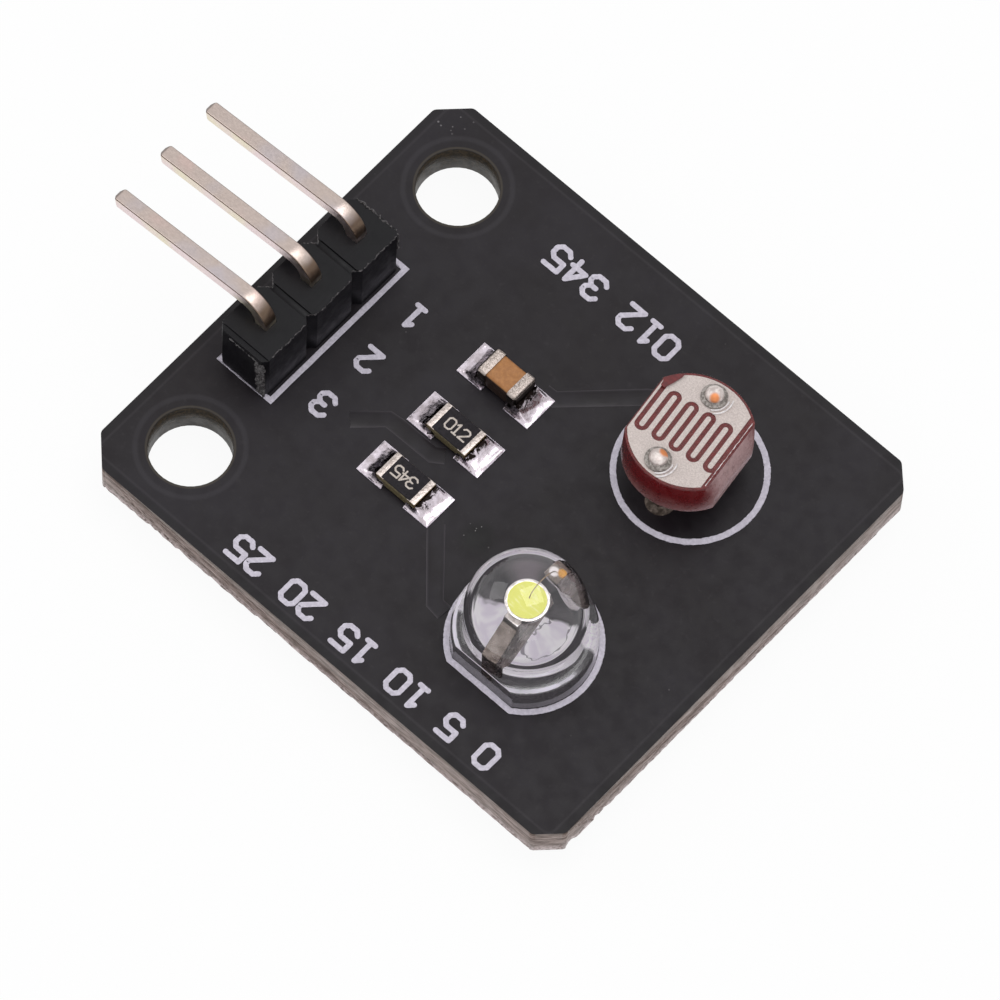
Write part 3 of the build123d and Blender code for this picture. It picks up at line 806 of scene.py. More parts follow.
lower = (0.6, FAR_END, 3.2)
lips.append(burr("lip_far_corner", upper, lower, thick=0.05, ragged=0.04, cuts=18, seed=53))
inner = (-1.2, NEAR_END, TOP - 0.35)
outer = (0.3, NEAR_END, TOP - 0.42)
lips.append(burr("lip_near_top", inner, outer, thick=0.045, ragged=0.03, cuts=22, seed=51))
for strand, (x, thick) in enumerate(CORNER_STRANDS):
    upper = (x - 0.06, NEAR_END, TOP - 0.4)
    lower = (x, NEAR_END, BOARD_TOP + 0.1)
    lips.append(burr(f"lip_corner_{strand}", upper, lower, thick, ragged=0.04, cuts=34, seed=60 + strand))
settle(joined(lips, "header_torn_lips"), "header_plastic", torn)

# %% [markdown]
# ## Header pins
# Three square pins, plated and bent over by hand. Each is a rounded copy with only a small radius, so
# that the flat top keeps its own tone against the sides, which are painted brighter as a painted highlight.
# The plating is warm grey, painted darker and browner close to the housing as a painted reflection of the
# dark housing, and a thin brown line of painted shade runs along its rounded edges.

# %% Header pins
plated = Finish("pin_plating", (194, 180, 172), 0.32, 1.0)
along = plated.grain(0.05, 3.0, 0.6, plated.stretch(0.3, 1.0, 1.0))
sheen = plated.grain(1.6, 2.0, 0.4)
silver = plated.mix(plated.span(along, 0.25, 0.8), (178, 164, 157), (190, 176, 169))
silver = plated.mix(plated.span(sheen, 0.5, 0.72, 0.0, 0.5), silver, (176, 172, 182))
silver = plated.mix(plated.span(sheen, 0.28, 0.46, 0.5, 0.0), silver, (198, 172, 166))
# The sides are painted brighter than the top: a painted highlight.
sides = plated.mix(plated.span(sheen, 0.35, 0.6), (232, 222, 198), (232, 214, 214))
tilt_up = plated.facing("Z")
# The rounded edges between side and top are painted brown: painted shade.
sides = plated.mix(plated.span(tilt_up, 0.08, 0.25), sides, (96, 80, 70))
silver = plated.mix(plated.span(tilt_up, 0.68, 0.93), sides, silver)
cut_end = plated.span(plated.facing("X"), -0.9, -0.4, 0.8, 0.0)
silver = plated.mix(cut_end, silver, (140, 130, 126))
by_housing = plated.span(plated.axis("X"), -1.5, -0.35)
# Darker and browner close to the housing: a painted reflection of the dark housing.
painted_housing_reflection = plated.math("MULTIPLY", by_housing, plated.span(plated.grain(0.35), 0.3, 0.6))
silver = plated.mix(plated.math("MULTIPLY", painted_housing_reflection, 0.6), silver, (122, 104, 88))
plated.color(silver)
plated.rough(plated.grain(0.12, 4.0), 0.28, 0.42)
plated.bump(along, 0.008, 0.5)
PIN_ROUNDING = 0.06
for number in (1, 2, 3):
    pin = rounded_copy(f"header_pin_{number}", f"header_pin_{number}_plated", PIN_ROUNDING, 3, 25.0)
    settle(pin, "pin_metal", plated, f"header_pin_{number}")

# %% [markdown]
# ## Solder
# Solder freezes bright but not smooth: it is a mirror with slow dents and fine grain. Dark glassy flux
# is left where it met the chip parts, so the finish darkens close to their ends. It measures how far a
# point lies ahead of a chip's end and beside its row, and a blotchy noise breaks up the border.

# %% Solder finish
CHIP_X = 7.06
CHIP_HALF_LENGTH = 1.0
CHIP_ROWS = {"capacitor": 2.54, "resistor_a": -0.28, "resistor_b": -3.12}
solder = Finish("solder", (205, 200, 204), 0.22, 1.0)
dent = solder.grain(0.5, 1.5, 0.5)
metal = solder.mottle(0.3, (186, 176, 182), (226, 216, 226), 3.0)
off_chips = solder.math("ABSOLUTE", solder.math("SUBTRACT", solder.axis("X"), CHIP_X), 0.0)
ahead = solder.math("SUBTRACT", off_chips, CHIP_HALF_LENGTH)
beside = 9.0
for row in CHIP_ROWS.values():
    off_row = solder.math("ABSOLUTE", solder.math("SUBTRACT", solder.axis("Y"), row), 0.0)
    beside = solder.math("MINIMUM", beside, off_row)
beside = solder.math("MAXIMUM", solder.math("SUBTRACT", beside, 0.45), 0.0)
ahead = solder.math("MAXIMUM", ahead, 0.0)
squares = solder.math("ADD", solder.math("POWER", ahead, 2.0), solder.math("POWER", beside, 2.0))
span_out = solder.math("SQRT", squares, 0.0)
blot = solder.grain(0.3, 4.0, 0.65, distort=1.0)
blot = solder.math("MULTIPLY", solder.math("SUBTRACT", blot, 0.5), 0.95)
reach = solder.math("ADD", span_out, blot)
above_pad = solder.span(solder.axis("Z"), BOARD_TOP + 0.02, BOARD_TOP + 0.04)
flux = solder.math("MULTIPLY", solder.span(reach, 0.13, 0.24, 1.0, 0.0), above_pad)
solder.color(solder.mix(flux, metal, (36, 29, 27)))
solder.rough(solder.grain(0.12, 4.0), 0.16, 0.34)
solder.bump(solder.math("ADD", dent, solder.math("MULTIPLY", solder.grain(0.14, 2.0), 0.14)), 0.07, 0.8)
print("solder has", len(solder.tree.nodes), "nodes")

# %% [markdown]
# The pads under the chip parts are tinned copper, a little duller than fresh solder. Next to nothing of
# them is seen, so they stay the solids they are and only get a finish.

# %% Tinned pads
tinned = Finish("tinned_pad", (214, 206, 218), 0.34, 1.0)
tinned.color(tinned.mottle(0.2, (182, 174, 184), (220, 213, 224), high=0.75))
tinned.rough(tinned.grain(0.15, 4.0), 0.25, 0.5)
tinned.bump(tinned.grain(0.12, 4.0), 0.02, 0.6)
pad_names = [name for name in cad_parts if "_pad_" in name]
for node_name in pad_names:
    dress(node_name, tinned)
print("tinned pads:", len(pad_names))

# %% [markdown]
# Each lead is soldered into its hole. The joints keep their shape from the solids and only get even
# shading. Those of the photo cell are a little duller and painted darker and browner, as painted shade under
# the cell, so they have a finish of their own.

# %% Solder joints of the leads
dull_shaded = Finish("dull_solder", (112, 103, 98), 0.32, 1.0)
# Joints under the photo cell are painted dark brown: painted shade under the cell.
dull_shaded.color(dull_shaded.mottle(0.25, (44, 38, 34), (98, 88, 82)))
dull_shaded.rough(dull_shaded.grain(0.15, 4.0), 0.24, 0.42)
dull_shaded.bump(dull_shaded.grain(0.3), 0.04, 0.7)
SOLDERED_LEADS = ("header_solder_", "lamp_solder_", "cell_solder_")
for node_name in [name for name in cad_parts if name.startswith(SOLDERED_LEADS)]:
    joint = rounded_copy(node_name, node_name + "_joint", 0.0)
    settle(joint, "solder", dull_shaded if node_name.startswith("cell") else solder, node_name)

# %% [markdown]
# ## Chip parts
# Two resistors and a capacitor, each a block of ceramic with plated ends. The blocks are rounded copies.
# The capacitor is tan, painted nearly black down its sides as painted shade; the resistors are olive ceramic
# under a dark glaze that laps over the plated ends, so that only a narrow bar of metal shows at each end.

# %% Chip finishes
tan = Finish("capacitor_ceramic", (165, 105, 65), 0.45)
tan_tone = tan.mottle(0.16, (158, 104, 54), (176, 120, 66))
# Faces turned sideways get a near black: painted shade down the capacitor's sides.
tan.color(tan.mix(tan.span(tan.facing("Z"), 0.35, 0.8), (38, 24, 18), tan_tone))
tan.rough(tan.grain(0.2), 0.35, 0.55)
tan.bump(tan.grain(0.05, 4.0), 0.008, 0.5)
olive = Finish("resistor_ceramic", (100, 90, 60), 0.55)
olive.color(olive.mottle(0.1, (72, 64, 44), (112, 101, 72)))
olive.rough(olive.grain(0.2), 0.45, 0.65)
olive.bump(olive.grain(0.05, 4.0), 0.008, 0.5)
glaze = Finish("resistor_glaze", (34, 30, 32), 0.3, Specular_IOR_Level=0.16)
glaze.color(glaze.mottle(0.12, (22, 18, 23), (36, 31, 36), high=0.75))
glaze.rough(glaze.grain(0.3), 0.26, 0.4)
glaze.bump(glaze.grain(0.1, 3.0), 0.008, 0.5)
print("finishes of the bodies:", tan.material.name, olive.material.name, glaze.material.name)

# %% [markdown]
# The plated ends differ too. On the capacitor they are coarse and grainy, with their sides painted dark as
# painted shade; on the resistors they are smooth narrow bars with a yellowish side. In both the tone follows
# the direction of a face, which needs no seams.

# %% Plated ends
ends = Finish("plated_end", (200, 186, 184), 0.34, 1.0)
grainy = ends.grain(0.06, 4.0, 0.65)
end_tone = ends.mix(ends.span(grainy, 0.35, 0.68), (128, 118, 112), (204, 192, 186))
# Faces turned sideways get a dark grey: painted shade on the sides of the ends.
ends.color(ends.mix(ends.span(ends.facing("Z"), 0.3, 0.75), (66, 58, 54), end_tone))
ends.rough(grainy, 0.28, 0.5)
ends.bump(grainy, 0.02, 0.8)
bars = Finish("resistor_end", (222, 205, 206), 0.3, 1.0)
gilt = bars.span(bars.facing("Z"), 0.3, 0.8)
bar_tone = bars.mottle(0.12, (164, 153, 148), (204, 194, 189))
bars.color(bars.mix(gilt, (168, 142, 84), bar_tone))
bars.rough(bars.grain(0.12, 4.0), 0.22, 0.4)
bars.bump(bars.grain(0.1, 4.0), 0.02, 0.7)
print("finishes of the ends:", ends.material.name, bars.material.name)

# %% [markdown]
# Every part gets a body and two ends, and a resistor its glaze as well. The glaze is stretched a little
# along the part, so that it laps over the ends like the real coating.

# %% Chip bodies and ends
GLAZE_STRETCH = (1.24, 0.99, 1)
CHIP_MAKE = {
    "capacitor": ("capacitor_ceramic", tan, ends, 0.05),
    "resistor_a": ("resistor_ceramic", olive, bars, 0.02),
    "resistor_b": ("resistor_ceramic", olive, bars, 0.02),
}
for chip, (slot_name, ceramic, plating, rounding) in CHIP_MAKE.items():
    body = rounded_copy(f"{chip}_body", f"{chip}_body_fired", rounding, 2)
    settle(body, slot_name, ceramic, f"{chip}_body")
    for end in (1, 2):
        cap = rounded_copy(f"{chip}_cap_{end}", f"{chip}_cap_{end}_plated", 0.03, 2)
        settle(cap, "cap_metal", plating, f"{chip}_cap_{end}")
    if f"{chip}_glaze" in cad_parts:
        cover = rounded_copy(f"{chip}_glaze", f"{chip}_glaze_fired", 0.02, 2)
        edit(cover)
        low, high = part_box(f"{chip}_glaze")
        middle = (Vector(low) + Vector(high)) / 2
        bpy.ops.transform.resize(value=GLAZE_STRETCH, center_override=middle)
        stop_edit()
        settle(cover, "resistor_glaze", glaze, f"{chip}_glaze")

# %% [markdown]
# ## Solder at the chip parts
# Each pad is flooded with solder that climbs the part's end in a hollow curve and thins out to the rim
# of the pad. A sculpted blob would do, but the curve is simple to state: the height falls with the
# distance from the part, faster sideways than lengthways. So a fine grid is given thickness and its top
# points are lifted by that rule, with slow seeded waves on top.


# %% Solder flood helper
FLOOD_WIDTH = 1.57
PAD_TOP = 1.65


def flood(name, x0, x1, row, chip_end, part_side, peak, seed):
    """Solder over one pad. chip_end is where the part ends, part_side +1 if the part lies towards +X."""
    deselect()
    size = (x1 - x0 - 0.03, FLOOD_WIDTH)
    middle = mm((x0 + x1) / 2, row, PAD_TOP)
    bpy.ops.mesh.primitive_grid_add(x_subdivisions=30, y_subdivisions=34, size=1, location=middle)
    piece = fresh(name)
    piece.scale = (size[0] * MM, size[1] * MM, 1)
    bpy.ops.object.transform_apply(location=True, rotation=True, scale=True)
    edit(piece, "FACE")
    extrude_up(0.012)
    close_edit()
    roll = random.Random(seed)
    waves = []
    for _ in range(5):
        waves.append((roll.uniform(3, 9), roll.uniform(-4, 4), roll.uniform(0, 6.3), roll.uniform(0.2, 1.0)))
    for vertex in piece.data.vertices:
        if vertex.co.z < (PAD_TOP + 0.005) * MM:
            continue
        x, y = vertex.co.x / MM, vertex.co.y / MM - row
        ahead = max(0.0, (chip_end - x) * part_side)
        beside = max(0.0, abs(y) - 0.6)
        far = math.hypot(ahead / 0.74, beside / 0.18)
        climb = peak * max(0.0, 1.0 - far) ** 1.9 * (1.0 if ahead > 0 else 0.75)
        rim = min(1.0, (size[0] / 2 - abs(x - (x0 + x1) / 2)) / 0.12, (size[1] / 2 - abs(y)) / 0.1)
        swell = 0.03 + 0.012 * sum(w * math.sin(kx * x * 1.3 + ky * y + p) for kx, ky, p, w in waves)
        vertex.co.z += (climb + max(0.0, swell) * max(0.0, rim) ** 0.5) * MM
    hold(piece)
    bpy.ops.object.shade_smooth_by_angle(angle=math.radians(50))
    return piece


print("floods start at the pads' top,", PAD_TOP, "mm")

# %% [markdown]
# Every chip part has a pad at both ends, so the helper runs six times, each time with a seed of its own.
# The capacitor is taller than the resistors, and the solder climbs it further.

# %% Solder at the chip parts
LEFT_PAD = (5.24, 6.49)
RIGHT_PAD = (7.63, 8.88)
for seed, (chip, row) in enumerate(CHIP_ROWS.items()):
    peak = 0.62 if chip == "capacitor" else 0.36
    left_end = CHIP_X - CHIP_HALF_LENGTH
    left = flood(f"{chip}_solder_1_flood", *LEFT_PAD, row, left_end, 1, peak, 2 * seed)
    settle(left, "solder", solder, f"{chip}_solder_1")
    right_end = CHIP_X + CHIP_HALF_LENGTH
    right = flood(f"{chip}_solder_2_flood", *RIGHT_PAD, row, right_end, -1, peak, 2 * seed + 1)
    settle(right, "solder", solder, f"{chip}_solder_2")

# %% [markdown]
# ## Lamp lens
# The lamp is cast in clear resin: a dome on a short barrel, with a flange that is flat on one side. It
# could be carved from a sphere and a cylinder. Turning one closed outline is cleaner, because dome,
# barrel and the rounded shoulder of the flange then run into each other without a seam, and glass shows
# every seam. Rings are extruded upwards one after another, and the flat is cut by a plane.


# %% Turning helper
def turned(name, centre, rings, sides=128):
    """A closed body built from the bottom up out of rings of (radius, height) about a vertical axis."""
    deselect()
    radius, level = rings[0]
    start = mm(centre[0], centre[1], level)
    bpy.ops.mesh.primitive_circle_add(vertices=sides, radius=radius * MM, fill_type="NGON", location=start)
    piece = fresh(name)
    bpy.ops.object.transform_apply(location=True, rotation=True, scale=True)
    bpy.ops.object.mode_set(mode="EDIT")
    bpy.ops.mesh.select_mode(type="FACE")
    bpy.ops.mesh.select_all(action="SELECT")
    for next_radius, next_level in rings[1:]:
        extrude_up(next_level - level)
        ratio = next_radius / radius
        middle = mm(centre[0], centre[1], next_level)
        bpy.ops.transform.resize(value=(ratio, ratio, 1), center_override=middle)
        radius, level = next_radius, next_level
    close_edit()
    return piece


def arc(centre_radius, centre_level, size, start, end, steps):
    """Rings along part of a circle in the outline, angles in degrees up from straight outwards."""
    rings = []
    for step in range(steps + 1):
        angle = math.radians(start + (end - start) * step / steps)
        rings.append((centre_radius + size * math.cos(angle), centre_level + size * math.sin(angle)))
    return rings


print("a quarter round in 3 steps:", [(round(r, 2), round(z, 2)) for r, z in arc(0, 0, 1, 0, 90, 3)])

# %% [markdown]
# The outline starts at the cut foot, runs over the flange's rounded shoulder and a small hollow to the
# barrel, and up the dome to just short of its pole. The flange is cut flat on one side at the end.

# %% Lamp lens
LAMP = (14.72, -4.84)
LENS_FOOT = BOARD_TOP + 0.02
FLANGE_RADIUS = 2.82
FLANGE_TOP = 3.0
SHOULDER = 0.3
BARREL_RADIUS = 2.375
DOME_CENTRE = 4.42
LENS_FLAT = -7.22
outline = [(2.74, LENS_FOOT), (FLANGE_RADIUS, LENS_FOOT + 0.08)]
outline += arc(FLANGE_RADIUS - SHOULDER, FLANGE_TOP - SHOULDER, SHOULDER, 0, 80, 8)
outline += [(2.47, 3.005), (2.385, 3.06)]
outline += [(BARREL_RADIUS, level) for level in (3.3, 3.7, 4.1, DOME_CENTRE)]
outline += arc(0.0, DOME_CENTRE, BARREL_RADIUS, 3, 89, 42)
resin = turned("lamp_lens_cast", LAMP, outline)
edit(resin)
bpy.ops.mesh.bisect(
    plane_co=mm(0, LENS_FLAT, 0), plane_no=(0, -1, 0), use_fill=True, clear_outer=True, threshold=CUT_CLOSE)
close_edit()
hold(resin)
bpy.ops.object.shade_smooth_by_angle(angle=math.radians(24))
print("the lens has", len(outline), "rings and ends", round(outline[-1][1], 3), "mm up")

# %% [markdown]
# The resin is a glass-like shader. Its underside, where the casting was cut from its mould, is matt and
# painted with patches of reflection: pale towards one side, dark grey towards the other, with a dark line
# and a grey spot. The dome is a strong magnifier, and from the front it shows only a spot of the underside
# about
# 0.4 mm wide. A clean glass foot would make the lamp look like a drop of water, so the foot is painted with
# reflections, and finely at that spot.

# %% Lens foot
clear = Finish("clear_resin", (250, 248, 252), 0.02, Transmission_Weight=1.0, IOR=1.53)
foot = clear.span(clear.axis("Z"), LENS_FOOT + 0.01, LENS_FOOT + 0.02, 1.0, 0.0, smooth=False)
foot_x = clear.math("SUBTRACT", clear.axis("X"), LAMP[0])
foot_y = clear.math("SUBTRACT", clear.axis("Y"), LAMP[1])
wander = clear.math("MULTIPLY", clear.math("SUBTRACT", clear.grain(0.07, 2.0), 0.5), 0.12)
border = clear.math("SUBTRACT", foot_y, clear.math("MULTIPLY", foot_x, 0.47))
border = clear.math("ADD", clear.math("SUBTRACT", border, 1.325), wander)
# The pale side of the foot is painted reflection.
pale_reflection = clear.span(border, -0.02, 0.015, 1.0, 0.0)
pale_reflection = clear.math("MULTIPLY", pale_reflection, clear.span(border, -1.2, -1.0))
shimmer = clear.grain(0.1, 2.0, 0.5)
pale_reflection_tone = clear.mix(clear.span(shimmer, 0.35, 0.55), (236, 228, 240), (255, 252, 255))
# A dark line across the pale part, also painted reflection.
dark_reflection_line = clear.math("ABSOLUTE", clear.math("ADD", clear.math("ADD", foot_x, 0.6), wander), 0.0)
pale_reflection_tone = clear.mix(clear.span(dark_reflection_line, 0.003, 0.008, 0.75, 0.0), pale_reflection_tone, (84, 74, 88))
# The dark grey side of the foot and the grey spot in it are painted reflection.
dark_reflection_tone = clear.mottle(0.09, (44, 41, 46), (84, 79, 84), 3.0)
grey_reflection_spot = clear.near((LAMP[0] - 0.9, LAMP[1] + 1.12, LENS_FOOT), 0.07, 0.05)
dark_reflection_tone = clear.mix(grey_reflection_spot, dark_reflection_tone, (128, 119, 124))
foot_reflection_tone = clear.mix(pale_reflection, dark_reflection_tone, pale_reflection_tone)
print("the foot is painted with", len(clear.tree.nodes), "nodes")

# %% [markdown]
# Along the flange's shoulder runs a painted highlight, a soft white line clearest towards the front. Foot
# and line are both matt, so one share of mattness lets less light through there and makes the resin rougher.

# %% Lens shoulder and clear body
# A painted highlight: a soft white band just under the flange's top, on the side towards the front.
shoulder_glint = clear.math(
    "MULTIPLY",
    clear.span(clear.axis("Z"), FLANGE_TOP - 0.14, FLANGE_TOP - 0.07),
    clear.span(clear.axis("Z"), FLANGE_TOP - 0.03, FLANGE_TOP, 1.0, 0.0))
shoulder_glint = clear.math("MULTIPLY", shoulder_glint, clear.span(clear.facing("Y"), -0.2, 0.1, 1.0, 0.0))
shoulder_glint = clear.math("MULTIPLY", shoulder_glint, clear.span(clear.grain(0.5, 2.0), 0.35, 0.55, 0.5, 0.95))
body_tone = clear.mix(shoulder_glint, (250, 248, 252), (236, 228, 242))
clear.color(clear.mix(foot, body_tone, foot_reflection_tone))
matt = clear.math("MAXIMUM", foot, shoulder_glint)
clear.link(clear.math("SUBTRACT", 1.0, matt), clear.shader.inputs["Transmission Weight"])
clear.link(clear.span(matt, 0.0, 1.0, 0.015, 0.6), clear.shader.inputs["Roughness"])
clear.bump(clear.grain(1.4, 2.0), 0.015, 0.2)
settle(resin, "clear_resin", clear, "lamp_lens")

# %% [markdown]
# ## Inside the lamp
# Two plated lead frames stand in the resin. One carries a cup, the other a post whose head has a bright
# spot and a gilt one. The frames are rounded copies in bright plate. Their legs are duller than the cup's
# rim, and the finish tells them apart by height.

# %% Lead frames
POST_HEAD = (14.72, -3.58, 5.0)
BRIGHT_SPOT = (14.66, -3.67, 5.0)
GILT_SPOT = (14.86, -3.53, 5.0)
bright = Finish("frame_plating", (214, 208, 200), 0.24, 1.0)
rim_tone = bright.mottle(0.3, (206, 200, 196), (236, 231, 228), 3.0)
leg_tone = bright.mottle(0.5, (112, 101, 94), (160, 149, 142), 2.0)
frame_tone = bright.mix(bright.span(bright.axis("Z"), 4.55, 4.85), leg_tone, rim_tone)
frame_tone = bright.mix(bright.near(POST_HEAD, 0.6, 0.05), frame_tone, (128, 118, 112))
frame_tone = bright.mix(bright.near(BRIGHT_SPOT, 0.15, 0.04), frame_tone, (240, 234, 232))
frame_tone = bright.mix(bright.near(GILT_SPOT, 0.14, 0.04), frame_tone, (206, 150, 70))
bright.color(frame_tone)
bright.rough(bright.grain(0.3, 2.0), 0.16, 0.34)
bright.bump(bright.grain(0.3, 2.0), 0.006, 0.4)
for which in ("cathode", "anode"):
    part = rounded_copy(f"lamp_{which}_frame", f"lamp_{which}_frame_plated", 0.03, 2, 40.0)
    settle(part, "lamp_frame", bright, f"lamp_{which}_frame")

# %% [markdown]
# In the cup lies a tiny die under a yellow-green phosphor, painted with faint pale streaks of reflection. A
# thread of drawn gold alloy joins die and post. The dome magnifies all of it. So the phosphor is made a
# little wider than its solid, to fill the cup to its rim, and the thread a little thinner.

# %% Die, phosphor and thread
PHOSPHOR_STRETCH = (1.13, 1.13, 1)
PHOSPHOR_LIFT = 0.012
THREAD_SLIMMING = 0.014
phosphor = Finish("phosphor", (236, 240, 112), 0.6)
# Pale streaks across the phosphor are painted reflection.
phosphor_reflection_streak = phosphor.grain(0.09, 3.0, 0.5, phosphor.stretch(0.25, 1.0, 1.0))
phosphor.color(phosphor.mix(phosphor.span(phosphor_reflection_streak, 0.5, 0.75), (236, 238, 116), (248, 248, 170)))
phosphor.rough(phosphor.grain(0.1), 0.5, 0.7)
phosphor.bump(phosphor.grain(0.05), 0.008, 0.5)
fill = rounded_copy("lamp_phosphor", "lamp_phosphor_fill", 0.0)
edit(fill)
bpy.ops.transform.resize(value=PHOSPHOR_STRETCH, center_override=mm(*LAMP, 5.0))
bpy.ops.transform.translate(value=(0, 0, PHOSPHOR_LIFT * MM))
stop_edit()
settle(fill, "phosphor", phosphor, "lamp_phosphor")
silicon = Finish("die_silicon", (60, 66, 90), 0.3)
silicon.color(silicon.mix(silicon.grain(0.05), (50, 56, 78), (80, 86, 110)))
dress("lamp_die", silicon)
gold = Finish("gold_thread", (150, 128, 104), 0.3, 1.0)
gold.color(gold.mix(gold.grain(0.05), (134, 114, 92), (168, 144, 114)))
gold.bump(gold.grain(0.02), 0.002, 0.4)
thread = rounded_copy("lamp_bond_wire", "lamp_bond_wire_drawn", 0.0)
edit(thread)
bpy.ops.transform.shrink_fatten(value=-THREAD_SLIMMING * MM)
stop_edit()
settle(thread, "gold_wire", gold, "lamp_bond_wire")

# %% [markdown]
# ## Photo cell
# The cell is a ceramic puck soaked in dark red lacquer. The puck's sides fade from deep red to a milky foot,
# which the material follows by height, and the flat side is painted with a pale highlight in its middle.

# %% Photo cell puck
CELL_MIDDLE_Y = 4.9
puck = Finish("cell_ceramic", (120, 40, 42), 0.3, Coat_Weight=0.5, Coat_Roughness=0.12)
depth = puck.math("ADD", puck.axis("Z"), puck.math("MULTIPLY", puck.grain(0.8, 3.0), 0.9))
side = puck.mix(puck.span(depth, 3.5, 4.9), (150, 104, 102), (98, 12, 16))
along_flat = puck.math("ABSOLUTE", puck.math("SUBTRACT", puck.axis("Y"), CELL_MIDDLE_Y), 0.0)
ragged = puck.math("ADD", along_flat, puck.math("MULTIPLY", puck.grain(0.5, 4.0), 0.9))
# The pale smear in the middle of the flat side is a painted highlight.
on_flat = puck.span(puck.facing("X"), 0.8, 0.93)
flat_side_highlight = puck.math("MULTIPLY", on_flat, puck.span(ragged, 1.2, 2.3, 0.9, 0.15))
side = puck.mix(flat_side_highlight, side, (190, 158, 158))
puck.color(puck.mix(puck.span(puck.grain(0.2, 4.0), 0.5, 0.8, 0.0, 0.35), side, (58, 12, 16)))
puck.rough(puck.grain(0.3), 0.2, 0.4)
puck.bump(puck.grain(0.15, 4.0), 0.02, 0.5)
rounded_puck = rounded_copy("cell_substrate", "cell_puck", 0.06, 3)
settle(rounded_puck, "cell_ceramic", puck, "cell_substrate")

# %% [markdown]
# On the face two silver combs interlock and leave a winding red track between them, where the
# light-sensitive film shows. Film and combs are flat sheets with exact outlines, so they are only merged
# and shaded again. Their triangles stay, since the leads pass through them and a joined face would close
# over those holes.

# %% Film and combs
film = Finish("cell_film", (96, 24, 28), 0.35)
film.color(film.mottle(0.12, (84, 14, 18), (110, 26, 28)))
film.rough(film.grain(0.2), 0.3, 0.5)
film.bump(film.grain(0.06), 0.008, 0.5)
film_sheet = merged_copy("cell_film", "cell_film_sheet", flat_faces=False)
even_shading(film_sheet)
settle(film_sheet, "cell_film", film, "cell_film")
combs = Finish("cell_silver", (208, 198, 194), 0.5)
speck = combs.grain(0.06, 5.0, 0.7)
comb_tone = combs.mix(combs.span(speck, 0.35, 0.7), (196, 186, 182), (226, 218, 214))
combs.color(combs.mix(combs.span(combs.cells(0.2), 0.0, 0.05, 0.5, 0.0), comb_tone, (130, 96, 92)))
combs.rough(speck, 0.4, 0.6)
combs.bump(speck, 0.01, 0.6)
for which in ("lower", "upper"):
    comb = merged_copy(f"cell_electrode_{which}", f"cell_comb_{which}", flat_faces=False)
    even_shading(comb)
    settle(comb, "cell_electrode", combs, f"cell_electrode_{which}")

# %% [markdown]
# The cell's face lies under a clear coat. Real refraction would darken a layer so thin, so the coat is
# made as a film: mostly see-through, with a shine on top that grows towards the edges of the view. It is
# lifted by a hair, because two faces in one place leave it to chance which of them the light meets first.
# Only its upper side shines: seen from inside, a flat view would turn its underside into a mirror.

# %% Cell coat
COAT_LIFT = 0.004
coat = Finish("cell_coat", (255, 255, 255), 0.12)
see_through = coat.tree.nodes.new("ShaderNodeBsdfTransparent")
see_through.inputs["Color"].default_value = (1.0, 0.99, 0.985, 1.0)
shine = coat.tree.nodes.new("ShaderNodeBsdfGlossy")
shine.inputs["Roughness"].default_value = 0.1
edge_on = coat.tree.nodes.new("ShaderNodeFresnel")
edge_on.inputs["IOR"].default_value = 1.15
layers = coat.tree.nodes.new("ShaderNodeMixShader")
ripple = coat.tree.nodes.new("ShaderNodeBump")
ripple.inputs["Strength"].default_value = 0.15
ripple.inputs["Distance"].default_value = 0.03 * MM
coat.link(coat.grain(0.7, 3.0), ripple.inputs["Height"])
coat.link(ripple.outputs[0], shine.inputs["Normal"])
outside = coat.tree.nodes.new("ShaderNodeNewGeometry")
from_above = coat.math("SUBTRACT", 1.0, outside.outputs["Backfacing"])
coat.link(coat.math("MULTIPLY", edge_on.outputs[0], from_above), layers.inputs[0])
coat.link(see_through.outputs[0], layers.inputs[1])
coat.link(shine.outputs[0], layers.inputs[2])
coat.link(layers.outputs[0], coat.out.inputs[0])
coat.tree.nodes.remove(coat.shader)
glassy = merged_copy("cell_coat", "cell_coat_sheet", flat_faces=False)
edit(glassy)
bpy.ops.transform.translate(value=(0, 0, COAT_LIFT * MM))
stop_edit()
even_shading(glassy)
settle(glassy, "cell_coat", coat, "cell_coat")

# %% [markdown]
# The leads come up through the face and end in rounded tips, mostly tinned, with bare copper on one side.
# The copper is placed from the solids themselves: the middle of each lead's highest points is its tip.

# %% Lead finish
wire = Finish("lead_wire", (228, 218, 212), 0.45, 0.7)
tips = {}
for number in (1, 2):
    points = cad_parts[f"cell_lead_{number}"].data.vertices
    crown = max(p.co.z for p in points)
    near_crown = [p.co for p in points if p.co.z > crown - 0.25 * MM]
    tips[number] = sum(near_crown, Vector()) / len(near_crown) / MM
copper_side = wire.math(
    "MAXIMUM",
    wire.near((tips[1].x + 0.06, tips[1].y + 0.24, 5.5), 0.22, 0.05),
    wire.near((tips[2].x + 0.12, tips[2].y - 0.14, 5.3), 0.2, 0.05))
tin_tone = wire.mottle(0.15, (190, 178, 174), (226, 217, 213), 3.0)
wire.color(wire.mix(copper_side, tin_tone, (206, 132, 84)))
wire.rough(wire.grain(0.15), 0.42, 0.6)
wire.bump(wire.grain(0.12, 4.0), 0.02, 0.5)
print("lead tips at", [[round(v, 2) for v in tip] for tip in tips.values()])

# %% [markdown]
# Round each tip the coat has gone grey and climbed the wire as a low collar, and it froze in small
# waves. Both need their own look: the collar is grey and mottled, the waves are painted nearly white, a
# painted highlight on the clear coat.

# %% Collar and wave finishes
collar_finish = Finish("cell_collar", (112, 104, 98), 0.25)
collar_finish.color(collar_finish.mottle(0.12, (104, 96, 90), (176, 168, 162)))
collar_finish.rough(collar_finish.grain(0.2), 0.15, 0.35)
collar_finish.bump(collar_finish.grain(0.1, 4.0), 0.02, 0.6)
